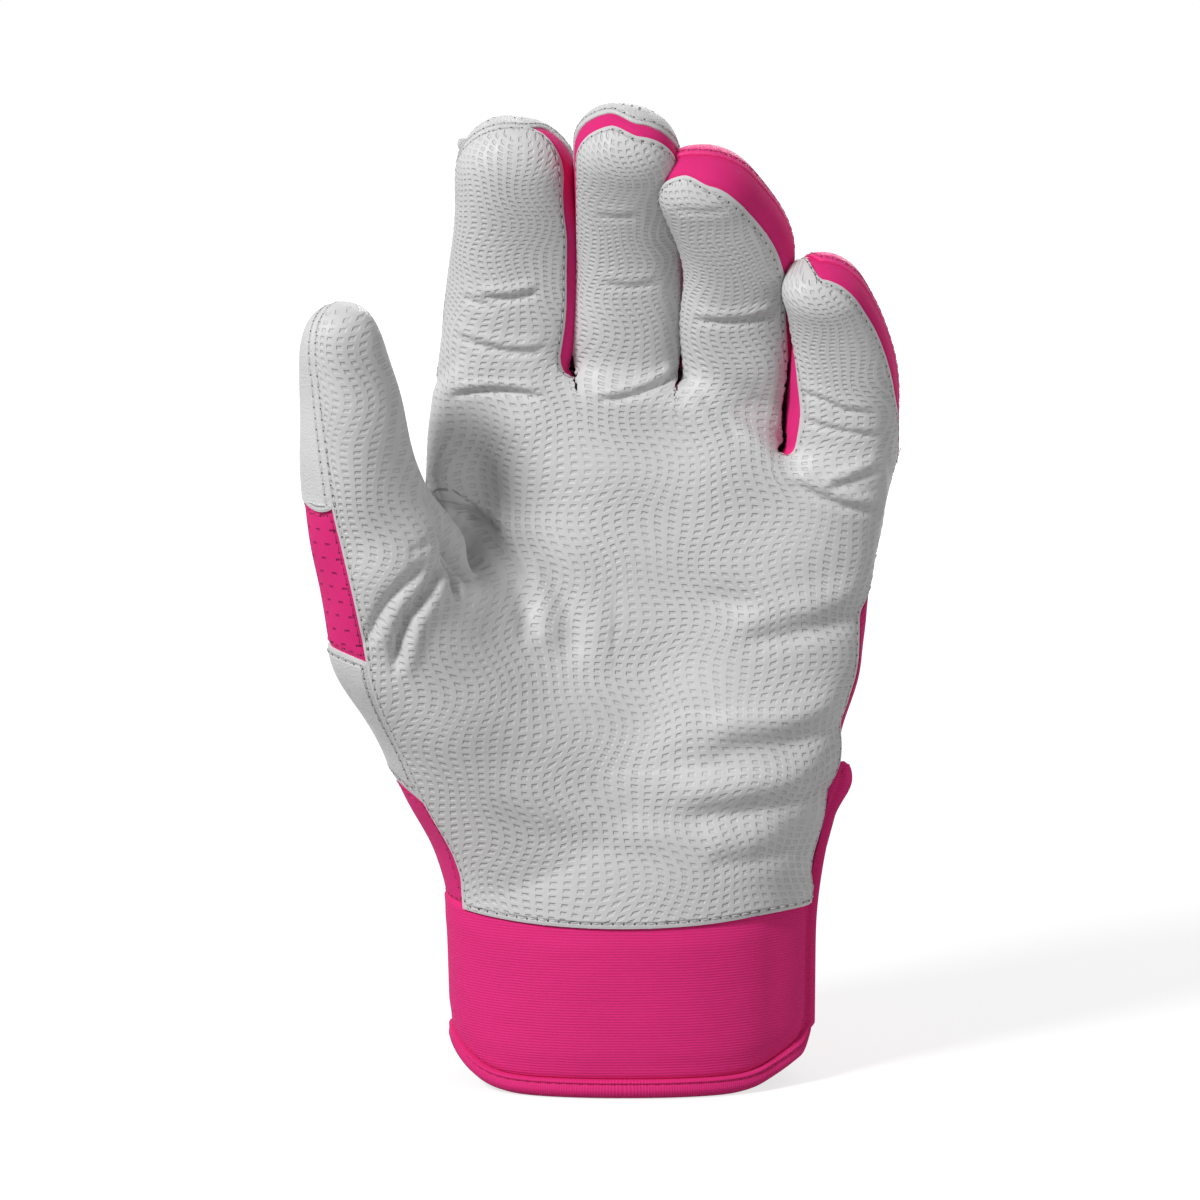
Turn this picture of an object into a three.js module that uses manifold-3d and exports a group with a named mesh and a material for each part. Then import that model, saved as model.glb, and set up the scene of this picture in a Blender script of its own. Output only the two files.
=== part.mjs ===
// A left-hand batting glove in its worn shape, palm forward and fingers up, standing on its cuff.
// X runs towards the little finger, Y from the palm to the back of the hand, Z from the cuff to the fingertips.
// The glove is a hollow skin cut into the panels that are sewn together, with a closure strap at the back.
import * as THREE from "three";
import { mergeVertices } from "three/addons/utils/BufferGeometryUtils.js";
import Module from "manifold-3d";

const wasm = await Module();
wasm.setup();

// Driving dimensions, in millimetres and degrees.
const LEATHER = 1.2; // leather with its lining
const NEOPRENE = 3.0; // wall of the cuff
const SEAM_GAP = 0.3; // clearance between neighbouring panels
const SQUARENESS = 2.3; // exponent of the rounded sections
const DEG = Math.PI / 180;

const CUFF_TOP = 35; // where the palm leather meets the cuff
const BINDING_HEIGHT = 4.2; // tape folded over the cuff's edge
const BINDING_PROUD = 0.8; // how far the tape stands out of the cuff
const RIM_RISE = 6; // the rim lifts by this much at its two sides
const RIM_FLAT = 0.6; // share of the half width over which the rim is flat

// Sections of the hand between the rim and the knuckles.
// arch is how far the two edges come forward of the middle.
const HAND_ROWS = [
  { z: 0, left: -37, right: 33.6, front: -24, back: 24, arch: 0 },
  { z: 35, left: -38, right: 33.8, front: -23, back: 23.5, arch: 0 },
  { z: 46, left: -40, right: 35.3, front: -21.5, back: 23, arch: 0.5 },
  { z: 56, left: -41.5, right: 37.4, front: -20, back: 22.5, arch: 1.5 },
  { z: 67, left: -42, right: 41.2, front: -18, back: 21.5, arch: 2.5 },
  { z: 85, left: -42.5, right: 46.4, front: -15, back: 20.5, arch: 4 },
  { z: 105, left: -43.5, right: 48.8, front: -13, back: 19, arch: 5 },
  { z: 120, left: -43, right: 51.6, front: -12, back: 17.5, arch: 5 },
  { z: 135, left: -41.8, right: 53.4, front: -11, back: 16, arch: 5 },
  { z: 150, left: -40, right: 54, front: -10, back: 14, arch: 5 },
];

// The hand ends in this line, which dips to the low crotch beside the little finger.
const CROTCH_LINE = [
  [-60, 147],
  [-10, 145.6],
  [13, 143.2],
  [24, 138],
  [31.6, 128.4],
  [70, 128.2],
];

// Each finger is a tube that starts on its base plane and curls forward as it rises.
// lean tips it sideways, twist turns its palm side, band says which sides carry a fourchette.
const FINGERS = {
  index: {
    base: [-27.2, 0.5, 146.2],
    lean: 2.6,
    twist: 2,
    curl: [4, 24],
    length: 59,
    halfWidth: [12.9, 11.2],
    halfDepth: [11, 9.6],
    stub: 26,
    band: "right",
  },
  middle: {
    base: [-1.8, 1.4, 145.6],
    lean: -1.2,
    twist: 0,
    curl: [8, 44],
    length: 63.5,
    halfWidth: [11, 9.4],
    halfDepth: [10.8, 9.2],
    stub: 26,
    band: "both",
  },
  ring: {
    base: [20.9, 0.4, 143.6],
    lean: -2.6,
    twist: -5,
    curl: [9, 44],
    length: 58.5,
    halfWidth: [10.7, 9.2],
    halfDepth: [10.4, 9],
    stub: 26,
    band: "both",
  },
  little: {
    base: [43, -1.6, 129],
    lean: -2,
    twist: -5,
    curl: [6, 36],
    length: 48,
    halfWidth: [10.8, 9],
    halfDepth: [9.6, 8.4],
    stub: 14,
    band: "both",
  },
};
const STUB_TAPER = 0.35; // share by which a finger narrows at the bottom of its stub
const BAND_HALF = 3.6; // half the width of a fourchette
const BAND_INNER_SHARE = 0.25; // a one-sided fourchette starts this share of the half width past the middle

// The thumb grows out of the heel of the hand. Each station has its centre and its half width and depth.
const THUMB_TWIST = 35;
const THUMB_BASE = 121; // height of the plane where the thumb bends
const THUMB_STATIONS = [
  { at: [-22, -4, 46], half: [13, 14] },
  { at: [-31, -8, 64], half: [17.4, 16] },
  { at: [-40, -13, 87], half: [20.3, 15.5] },
  { at: [-47.3, -19, 105], half: [17.3, 13.5] },
  { at: [-53.6, -24, 119.5], half: [13.2, 12] },
  { at: [-56, -27.5, 131.5], half: [12, 11.2] },
  { at: [-57, -30.5, 144.5], half: [11, 10.4] },
  { at: [-58, -33, 155], half: [9.9, 9.2] },
  { at: [-58.6, -34.3, 161], half: [7.8, 7] },
  { at: [-59, -35.2, 164.8], half: [4.4, 3.9] },
];
const THUMB_TIP = [-59.2, -35.6, 166.4];

// The seam between the palm leather and the back runs at these depths, by height.
const SEAM_X = [-95, -53, -41, 75];
const SEAM_ROWS = [
  { z: 20, y: [-12, -12, -12, -3] },
  { z: 35, y: [-12, -12, -12, -3] },
  { z: 50, y: [-8, -8, -6, -3] },
  { z: 62, y: [-17, -17, -8, -3] },
  { z: 86, y: [-27.5, -27.5, -10, -3] },
  { z: 104, y: [-32.5, -32.5, -4, -3] },
  { z: 118, y: [-35.5, -35.5, -1, -2] },
  { z: 160, y: [-37, -37, 0.5, -2] },
];

// The side panels of the thumb lie in front of this line, and change material at these heights.
const SIDE_LINE = [
  [-32, 30],
  [-41, 62],
  [-50, 86],
  [-53.5, 104],
  [-55.5, 124],
];
const STRETCH_TOP = 64;
const MESH_BOTTOM = 90;
const KNUCKLE_LINE = [
  [-90, 117],
  [-30, 116],
  [10, 112],
  [90, 101],
];

// The thumb stands clear of the hand in front of this upright plane, given by its normal and its reach.
const THUMB_SIDE = { normal: [-0.5, -0.86, 0], reach: 30.1 };

// Gussets close the crotches between the fingers, each cut from the skin by a box.
const GUSSETS = {
  index_middle_gusset: [[-17.2, -5.5, 139], [-9.6, 10, 150]],
  middle_ring_gusset: [[7, -5.5, 136], [13.4, 9.5, 148]],
  ring_little_gusset: [[26.5, -6.5, 124], [35.2, 7.5, 143]],
};

// Angles round the wrist: 0 is the little-finger side, 90 the back, 180 the thumb side, -90 the palm.
const CUFF_SIDE_SEAM = 176; // where the palm side and the back of the cuff are sewn together
const SEAM_ANGLE = 0.6; // clearance of a seam that runs up the wrist
const SLIT = { from: -19.5, middle: -7.5, to: 3, halfWidth: 1.6 };
const SLIT_ROOM = { left: 25, near: -9.6, far: 3.2, bottom: 20, top: 70 }; // the notch that the slit cuts in the hand
const SLIT_BINDING_PROUD = 0.3;

const STRAP = { from: -8, to: 139, bottom: 8.5, rootTop: 66, tipTop: 43, tipBottom: 6, thickness: 2.2 };
const STRAP_LIFT = { root: 1.1, tip: 2.5, from: 10, to: 62 }; // clearance over the skin, and where it grows
const STRAP_CORNER = { from: 0.93, radius: 9 }; // the free end's rounded corners
const STRAP_TAPE = { width: 1.3, inner: 0.2, outer: 0.4 };
const LOOP_PATCH = { from: 78, to: 150, bottom: 9, top: 33, thickness: 1.0 };
const HOOK_PATCH = { from: 92, to: 132, bottom: 11, top: 32, thickness: 0.7 };
const PULL_TAB = { from: 126, to: 136, bottom: 13, top: 33, thickness: 1.4 };

const HAND_POINTS = 28; // corners of the hand's section
const THUMB_POINTS = 20;
const FINGER_POINTS = 16;

const vec = (x, y, z) => new THREE.Vector3(x, y, z);
const lerp = THREE.MathUtils.lerp;
const smooth = (x, low, high) => THREE.MathUtils.smoothstep(x, low, high);

// Value of a key between two rows that are sorted by height.
function between(rows, z, key) {
  let i = 0;
  while (i < rows.length - 2 && rows[i + 1].z < z) i += 1;
  const share = THREE.MathUtils.clamp((z - rows[i].z) / (rows[i + 1].z - rows[i].z), 0, 1);
  return lerp(rows[i][key], rows[i + 1][key], share);
}

// Unit point of a rounded rectangle at an angle.
function roundPoint(angle) {
  const power = 2 / SQUARENESS;
  const c = Math.cos(angle);
  const s = Math.sin(angle);
  return [Math.sign(c) * Math.abs(c) ** power, Math.sign(s) * Math.abs(s) ** power];
}

// Point on the hand's section at a height, moved out by an offset.
function handPoint(angle, z, offset = 0) {
  const left = between(HAND_ROWS, z, "left") - offset;
  const right = between(HAND_ROWS, z, "right") + offset;
  const front = between(HAND_ROWS, z, "front") - offset;
  const back = between(HAND_ROWS, z, "back") + offset;
  const [c, s] = roundPoint(angle);
  const arch = between(HAND_ROWS, z, "arch") * c * c;
  const x = (left + right) / 2 + (c * (right - left)) / 2;
  return vec(x, (front + back) / 2 + (s * (back - front)) / 2 - arch, z);
}

// A closed mesh from rings of points, with a flat cap or a pole at each end.
function loft(rings, startPole, endPole) {
  const count = rings[0].length;
  const points = rings.flat();
  const faces = [];
  for (let r = 0; r < rings.length - 1; r += 1) {
    for (let i = 0; i < count; i += 1) {
      const j = (i + 1) % count;
      const a = r * count + i;
      const b = r * count + j;
      faces.push(a, b, b + count, a, b + count, a + count);
    }
  }
  const middle = (ring) => ring.reduce((sum, p) => sum.add(p), vec(0, 0, 0)).divideScalar(count);
  points.push(startPole ?? middle(rings[0]), endPole ?? middle(rings[rings.length - 1]));
  const start = rings.length * count;
  const last = (rings.length - 1) * count;
  for (let i = 0; i < count; i += 1) {
    const j = (i + 1) % count;
    faces.push(start, j, i, start + 1, last + i, last + j);
  }
  const geometry = new THREE.BufferGeometry().setFromPoints(points);
  geometry.setIndex(faces);
  return geometry;
}

// A three.js geometry as a solid for joining and cutting.
function solid(geometry) {
  const plain = geometry.index ? geometry.toNonIndexed() : geometry;
  const bare = new THREE.BufferGeometry();
  bare.setAttribute("position", plain.getAttribute("position"));
  const merged = mergeVertices(bare, 1e-3);
  const vertProperties = new Float32Array(merged.attributes.position.array);
  const triVerts = new Uint32Array(merged.index.array);
  const body = new wasm.Manifold(new wasm.Mesh({ numProp: 3, vertProperties, triVerts }));
  if (body.volume() > 0) return body;
  return new wasm.Manifold(new wasm.Mesh({ numProp: 3, vertProperties, triVerts: triVerts.reverse() }));
}

// A solid back as a three.js geometry.
function geometryOf(body) {
  const mesh = body.getMesh();
  const positions = new Float32Array(mesh.numVert * 3);
  for (let i = 0; i < mesh.numVert; i += 1) {
    positions.set(mesh.vertProperties.subarray(i * mesh.numProp, i * mesh.numProp + 3), i * 3);
  }
  const geometry = new THREE.BufferGeometry();
  geometry.setAttribute("position", new THREE.BufferAttribute(positions, 3));
  geometry.setIndex(new THREE.BufferAttribute(mesh.triVerts, 1));
  geometry.computeVertexNormals();
  return geometry;
}

// The largest body of a solid, which drops slivers that a cut leaves behind.
function largest(body) {
  return body.decompose().sort((a, b) => b.volume() - a.volume())[0];
}

const join = (bodies) => bodies.reduce((sum, body) => sum.add(body));

// An upright prism over a closed outline of [x, z] points, from one depth to another.
function prismXZ(outline, near, far) {
  const shape = new THREE.Shape(outline.map(([x, z]) => new THREE.Vector2(x, z)));
  const geometry = new THREE.ExtrudeGeometry(shape, { depth: far - near, bevelEnabled: false });
  geometry.rotateX(Math.PI / 2);
  geometry.translate(0, far, 0);
  return solid(geometry);
}

// A box between two corners.
function box(low, high) {
  const size = high.map((h, i) => h - low[i]);
  const geometry = new THREE.BoxGeometry(...size);
  geometry.translate(...low.map((l, i) => l + size[i] / 2));
  return solid(geometry);
}

// All of space on one side of a plane, as a large box: the side that the normal points to.
function halfSpace(normal, height) {
  const size = 400;
  const geometry = new THREE.BoxGeometry(size, size, size);
  geometry.translate(0, 0, size / 2 + height);
  const turn = new THREE.Quaternion().setFromUnitVectors(vec(0, 0, 1), normal.clone().normalize());
  return solid(geometry.applyQuaternion(turn));
}

// The frame of a finger at its base: across, towards the back, and up.
function fingerFrame(finger) {
  const lean = finger.lean * DEG;
  const up = vec(Math.sin(lean), 0, Math.cos(lean));
  const across = vec(Math.cos(lean), 0, -Math.sin(lean)).applyAxisAngle(up, finger.twist * DEG);
  return { across, back: up.clone().cross(across), up };
}

// Centre, direction and back normal of a finger at a distance from its base plane.
function fingerAt(finger, distance) {
  const { across, back, up } = fingerFrame(finger);
  const [start, end] = finger.curl.map((a) => a * DEG);
  const rate = (end - start) / finger.length;
  const angle = start + rate * Math.max(distance, 0);
  const rise = (Math.sin(angle) - Math.sin(start)) / rate;
  const reach = (Math.cos(start) - Math.cos(angle)) / rate;
  const direction = up.clone().multiplyScalar(Math.cos(angle)).addScaledVector(back, -Math.sin(angle));
  const normal = back.clone().multiplyScalar(Math.cos(angle)).addScaledVector(up, Math.sin(angle));
  const centre = vec(...finger.base).addScaledVector(up, rise).addScaledVector(back, -reach);
  centre.addScaledVector(direction, Math.min(distance, 0));
  return { centre, across, direction, normal };
}

// The tube of a finger from below its base plane to its rounded tip, shrunk by an inset.
function fingerTube(finger, inset) {
  const length = finger.length - inset;
  const width = (share) => lerp(...finger.halfWidth, share) - inset;
  const depth = (share) => lerp(...finger.halfDepth, share) - inset;
  const tip = width(1);
  const body = [-finger.stub, 0, 0.2, 0.4, 0.6].map((s) => (s < 0 ? s : s * (length - tip)));
  const distances = [...body, ...[0, 0.4, 0.68, 0.87, 0.97].map((s) => length - tip + s * tip)];
  const rings = distances.map((distance) => {
    const share = Math.max(distance, 0) / length;
    const past = Math.max(distance - (length - tip), 0) / tip;
    const closing = (1 - past ** SQUARENESS) ** (1 / SQUARENESS);
    const { centre, across, normal } = fingerAt(finger, distance);
    const size = distance < 0 ? 1 - STUB_TAPER : closing;
    return Array.from({ length: FINGER_POINTS }, (_, i) => {
      const [c, s] = roundPoint((i / FINGER_POINTS) * 2 * Math.PI);
      const point = centre.clone().addScaledVector(across, c * width(share) * size);
      return point.addScaledVector(normal, s * depth(share) * size);
    });
  });
  return solid(loft(rings, undefined, fingerAt(finger, length).centre));
}

// A slab across a finger between two depths that follow its curl, from below its base to past its tip.
function fingerSlab(finger, low, high, sides) {
  const steps = [-0.1, 0.15, 0.3, 0.45, 0.6, 0.75, 0.9, 1.3].map((s) => s * finger.length);
  const rings = steps.map((distance) => {
    const { centre, across, normal } = fingerAt(finger, distance);
    const corner = (u, v) => centre.clone().addScaledVector(across, u).addScaledVector(normal, v);
    return [corner(sides[0], low), corner(sides[1], low), corner(sides[1], high), corner(sides[0], high)];
  });
  return solid(loft(rings));
}

// The thumb as rings over its stations, shrunk by an inset.
function thumbTube(inset) {
  const across = vec(Math.cos(THUMB_TWIST * DEG), Math.sin(THUMB_TWIST * DEG), 0);
  const path = THUMB_STATIONS.map((station) => vec(...station.at));
  const rings = THUMB_STATIONS.map(({ half }, i) => {
    const before = path[Math.max(i - 1, 0)];
    const after = path[Math.min(i + 1, path.length - 1)];
    const direction = after.clone().sub(before).normalize();
    const normal = direction.clone().cross(across).normalize();
    const side = normal.clone().cross(direction);
    const centre = path[i].clone().addScaledVector(direction, i > 6 ? -inset * 0.5 : 0);
    return Array.from({ length: THUMB_POINTS }, (_, k) => {
      const [c, s] = roundPoint((k / THUMB_POINTS) * 2 * Math.PI);
      const point = centre.clone().addScaledVector(side, c * (half[0] - inset));
      return point.addScaledVector(normal, s * (half[1] - inset));
    });
  });
  const tip = vec(...THUMB_TIP);
  tip.z -= inset;
  return solid(loft(rings, undefined, tip));
}

// The hand from below the cuff line to the crotch line, shrunk by an inset.
function handTube(inset, bottom) {
  const heights = [bottom, ...HAND_ROWS.map((row) => row.z).filter((z) => z > bottom + 2)];
  const rings = heights.map((z) =>
    Array.from({ length: HAND_POINTS }, (_, i) => {
      return handPoint((i / HAND_POINTS) * 2 * Math.PI, z, -inset);
    }),
  );
  const outline = [...CROTCH_LINE.map(([x, z]) => [x, z - inset]), [70, bottom - 5], [-60, bottom - 5]];
  return solid(loft(rings)).intersect(prismXZ(outline.reverse(), -60, 60));
}

// Everything in front of the seam between palm and back, moved by a shift in depth.
function palmSide(shift) {
  const near = -90;
  const rings = SEAM_ROWS.map(({ z, y }) => [
    ...SEAM_X.map((x, i) => vec(x, y[i] + shift, z)).reverse(),
    vec(SEAM_X[0], near, z),
    vec(SEAM_X[SEAM_X.length - 1], near, z),
  ]);
  return solid(loft(rings.map((ring) => ring.reverse())));
}

// A sheet wrapped round the wrist between two angles, two heights and two offsets from the skin.
function wrap({ from, to, bottom, top, inner, outer, steps = 16, rows = 4 }) {
  const rings = Array.from({ length: steps + 1 }, (_, i) => {
    const share = i / steps;
    const angle = lerp(from, to, share) * DEG;
    const low = bottom(share, angle);
    const high = top(share, angle);
    const wall = (offset) =>
      Array.from({ length: rows + 1 }, (_, r) => {
        return handPoint(angle, lerp(low, high, r / rows), offset(share));
      });
    return [...wall(outer), ...wall(inner).reverse()];
  });
  return solid(loft(rings.map((ring) => ring.reverse())));
}

// Height of the rim at an angle: flat at the front and back, lifted at the two sides.
function rimHeight(angle) {
  const reach = Math.abs(roundPoint(angle)[0]);
  return RIM_RISE * smooth(reach, RIM_FLAT, 1) ** 2;
}

const glove = new THREE.Group();
const leatherWhite = { color: 0xd2d2d2, roughness: 0.55, metalness: 0 };
const knitPink = { color: 0xe23c84, roughness: 0.85, metalness: 0 };
const leatherPink = { color: 0xe44089, roughness: 0.6, metalness: 0 };
const hookWhite = { color: 0xe6e6e6, roughness: 0.9, metalness: 0 };

// Adds one named panel to the glove.
function addPanel(name, body, finish) {
  const mesh = new THREE.Mesh(geometryOf(largest(body)), new THREE.MeshStandardMaterial(finish));
  mesh.name = name;
  glove.add(mesh);
}

// The hand's outside and inside, with a stub below each finger's base plane.
const FAR = 100; // past the whole glove on any side
const FINGER_REACH = 30; // past a finger on any side
const palmOuter = handTube(0, CUFF_TOP + SEAM_GAP);
const palmInner = handTube(LEATHER, CUFF_TOP - 5);
const thumbOuter = thumbTube(0);
const thumbInner = thumbTube(LEATHER);
const thumbSide = halfSpace(vec(...THUMB_SIDE.normal), THUMB_SIDE.reach);
const thumbAbove = (z) => thumbSide.intersect(halfSpace(vec(0, 0, 1), z));
const fingerParts = Object.entries(FINGERS).map(([name, finger]) => {
  const { centre, direction } = fingerAt(finger, 0);
  const height = direction.dot(centre);
  const outer = fingerTube(finger, 0);
  return {
    name,
    finger,
    inner: fingerTube(finger, LEATHER),
    above: outer.intersect(halfSpace(direction, height + SEAM_GAP / 2)),
    stub: outer.subtract(halfSpace(direction, height - SEAM_GAP / 2)),
    room: fingerTube(finger, -SEAM_GAP).intersect(halfSpace(direction, height - SEAM_GAP / 2)),
  };
});

const thumbRoot = thumbOuter.subtract(thumbAbove(THUMB_BASE - SEAM_GAP / 2));
const handOuter = join([palmOuter, thumbRoot, ...fingerParts.map((part) => part.stub)]);
const handInner = join([palmInner, thumbInner, ...fingerParts.map((part) => part.inner)]);
const fingerRooms = join(fingerParts.map((part) => part.room));
const aboveCuff = halfSpace(vec(0, 0, 1), CUFF_TOP + SEAM_GAP);
const handSkin = handOuter.subtract(handInner).subtract(fingerRooms).intersect(aboveCuff);

// The slit at the little-finger side and the crotches are taken out of the hand's panels.
const slitBox = box([SLIT_ROOM.left, SLIT_ROOM.near, SLIT_ROOM.bottom], [FAR, SLIT_ROOM.far, SLIT_ROOM.top]);
const gussetRooms = Object.values(GUSSETS).map(([low, high]) =>
  box(
    low.map((v) => v - SEAM_GAP),
    high.map((v) => v + SEAM_GAP),
  ),
);
const handPanels = handSkin.subtract(join([...gussetRooms, slitBox]));
for (const [name, corners] of Object.entries(GUSSETS)) {
  addPanel(name, handSkin.intersect(box(...corners)), knitPink);
}

// The palm leather, in front of the side seam.
const front = palmSide(-SEAM_GAP / 2);
const frontGrown = palmSide(SEAM_GAP / 2);
addPanel("palm_panel", handPanels.intersect(front), leatherWhite);

// The back of the hand: a knit panel, a leather panel over the knuckles, and three down the thumb's side.
const handBack = handPanels.subtract(frontGrown);
const thumbSideOf = (shift) => {
  const line = SIDE_LINE.map(([x, z]) => [x + shift, z]);
  const [low, high] = [line[0][1] - shift, line[line.length - 1][1] + shift];
  return prismXZ([...line, [-FAR, high], [-FAR, low]], -FAR, FAR);
};
const beyondKnuckles = (shift) => {
  const line = KNUCKLE_LINE.map(([x, z]) => [x, z + shift]);
  return prismXZ([...line, [FAR, 2 * FAR], [-FAR, 2 * FAR]], -FAR, FAR);
};
const thumbSidePanels = handBack.intersect(thumbSideOf(0));
const backCentre = handBack.subtract(thumbSideOf(SEAM_GAP));
addPanel("knuckle_panel", backCentre.intersect(beyondKnuckles(SEAM_GAP / 2)), leatherWhite);
addPanel("back_panel", backCentre.subtract(beyondKnuckles(-SEAM_GAP / 2)), knitPink);
const sideBand = (low, high) => thumbSidePanels.intersect(box([-FAR, -FAR, low], [FAR, FAR, high]));
addPanel("thumb_mesh_insert", sideBand(MESH_BOTTOM + SEAM_GAP, FAR * 2), knitPink);
addPanel("thumb_base_panel", sideBand(STRETCH_TOP + SEAM_GAP, MESH_BOTTOM), leatherWhite);
addPanel("thumb_side_stretch", sideBand(0, STRETCH_TOP), knitPink);

// The thumb above the plane where it bends.
const thumbSkin = thumbOuter.intersect(thumbAbove(THUMB_BASE + SEAM_GAP / 2)).subtract(thumbInner);
addPanel("thumb_front", thumbSkin.intersect(front), leatherWhite);
addPanel("thumb_back", thumbSkin.subtract(frontGrown), leatherWhite);

// Each finger: a palm side, a fourchette and a back.
for (const { name, finger, inner, above } of fingerParts) {
  const skin = above.subtract(inner);
  const start = finger.band === "both" ? -FINGER_REACH : finger.halfWidth[0] * BAND_INNER_SHARE;
  const slab = (low, high, from) => fingerSlab(finger, low, high, [from, FINGER_REACH]);
  const band = slab(-BAND_HALF, BAND_HALF, start);
  const bandGrown = slab(-BAND_HALF - SEAM_GAP, BAND_HALF + SEAM_GAP, start - SEAM_GAP);
  const frontHalf = slab(-FINGER_REACH, -SEAM_GAP / 2, -FINGER_REACH);
  const frontHalfGrown = slab(-FINGER_REACH, SEAM_GAP / 2, -FINGER_REACH);
  const backFinish = name === "index" || name === "middle" ? leatherWhite : leatherPink;
  addPanel(name + "_front", skin.intersect(frontHalf).subtract(bandGrown), leatherWhite);
  addPanel(name + "_fourchette", skin.intersect(band), knitPink);
  addPanel(name + "_back", skin.subtract(frontHalfGrown).subtract(bandGrown), backFinish);
}

// The cuff: a palm side, a back, and the tape that binds its rim and the slit.
const tapeTop = (_, angle) => rimHeight(angle) + BINDING_HEIGHT;
const cuffWall = (from, to) =>
  wrap({
    from,
    to,
    bottom: (share, angle) => tapeTop(share, angle) + SEAM_GAP,
    top: () => CUFF_TOP,
    inner: () => -NEOPRENE,
    outer: () => 0,
    steps: 22,
    rows: 2,
  });
const rimTape = (from, to) =>
  wrap({
    from,
    to,
    bottom: (_, angle) => rimHeight(angle),
    top: tapeTop,
    inner: () => -NEOPRENE - BINDING_PROUD,
    outer: () => BINDING_PROUD,
    steps: 30,
    rows: 1,
  });
const slitTape = (from, to) =>
  wrap({
    from,
    to,
    bottom: (share, angle) => tapeTop(share, angle) + SEAM_GAP,
    top: () => SLIT_ROOM.top - SEAM_GAP * 2,
    inner: () => -NEOPRENE,
    outer: () => SLIT_BINDING_PROUD,
    steps: 3,
    rows: 8,
  });
const palmSeam = CUFF_SIDE_SEAM - 360 + SEAM_ANGLE;
addPanel("cuff_palm", cuffWall(palmSeam, SLIT.from - SEAM_ANGLE), knitPink);
addPanel("cuff_back", cuffWall(SLIT.to + SEAM_ANGLE, CUFF_SIDE_SEAM), knitPink);
addPanel("rim_binding_palm", rimTape(palmSeam, SLIT.middle - SLIT.halfWidth), knitPink);
addPanel("rim_binding_back", rimTape(SLIT.middle + SLIT.halfWidth, CUFF_SIDE_SEAM), knitPink);
addPanel("slit_binding_palm", slitTape(SLIT.from, SLIT.middle - SLIT.halfWidth), knitPink);
addPanel("slit_binding_back", slitTape(SLIT.middle + SLIT.halfWidth, SLIT.to), knitPink);

// The closure strap: sewn on beside the slit, then over the back of the wrist, with tape along its edges.
const strapLift = (share) => {
  const angle = lerp(STRAP.from, STRAP.to, share);
  return lerp(STRAP_LIFT.root, STRAP_LIFT.tip, smooth(angle, STRAP_LIFT.from, STRAP_LIFT.to));
};
const strapCorner = (share) => {
  const past = Math.max((share - STRAP_CORNER.from) / (1 - STRAP_CORNER.from), 0);
  return STRAP_CORNER.radius * (1 - Math.sqrt(1 - 0.98 * past ** 2));
};
const strapLow = (share) => lerp(STRAP.bottom, STRAP.tipBottom, smooth(share, 0, 0.7)) + strapCorner(share);
const strapHigh = (share) => lerp(STRAP.rootTop, STRAP.tipTop, smooth(share, 0, 0.6)) - strapCorner(share);
const strapRun = (bottom, top, innerProud, outerProud, rows) =>
  wrap({
    from: STRAP.from,
    to: STRAP.to,
    bottom,
    top,
    inner: (share) => strapLift(share) - innerProud,
    outer: (share) => strapLift(share) + STRAP.thickness + outerProud,
    steps: 26,
    rows,
  });
const { width: tape, inner: tapeInner, outer: tapeOuter } = STRAP_TAPE;
const clothLow = (share) => strapLow(share) + tape;
const clothHigh = (share) => strapHigh(share) - tape;
addPanel("closure_strap", strapRun(clothLow, clothHigh, 0, 0, 5), knitPink);
const lowTapeTop = (share) => clothLow(share) - SEAM_GAP;
const highTapeBottom = (share) => clothHigh(share) + SEAM_GAP;
addPanel("strap_binding_lower", strapRun(strapLow, lowTapeTop, tapeInner, tapeOuter, 1), knitPink);
addPanel("strap_binding_upper", strapRun(highTapeBottom, strapHigh, tapeInner, tapeOuter, 1), knitPink);

// The loop pile on the cuff, the hook pile under the strap, and the grip on its free end.
const patch = ({ from, to, bottom, top, thickness }, inner) =>
  wrap({
    from,
    to,
    bottom: () => bottom,
    top: () => top,
    inner: () => inner,
    outer: () => inner + thickness,
    steps: 10,
    rows: 1,
  });
const hookInner = STRAP_LIFT.tip - SEAM_GAP - HOOK_PATCH.thickness;
const gripInner = STRAP_LIFT.tip + STRAP.thickness + SEAM_GAP;
addPanel("loop_patch", patch(LOOP_PATCH, SEAM_GAP), hookWhite);
addPanel("hook_patch", patch(HOOK_PATCH, hookInner), hookWhite);
addPanel("strap_pull_tab", patch(PULL_TAB, gripInner), leatherWhite);

// The origin is under the middle of the glove, on the surface that it stands on.
const bounds = new THREE.Box3().setFromObject(glove);
const middle = bounds.getCenter(vec(0, 0, 0));
glove.position.set(-middle.x, -middle.y, -bounds.min.z);

export default glove;
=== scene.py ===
"""The looks of a batting glove: leather palm, knit sides, neoprene cuff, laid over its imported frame.

The glove's skin is drawn as rounded bodies that melt into each other: the hand, four fingers and a thumb.
It is meshed, folded and creased, cut along the seams into its panels, and each panel gets its thickness.
Lengths are in millimetres in the glove's own frame until a piece is finished, and angles are in degrees.
"""

import itertools
import math

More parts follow.
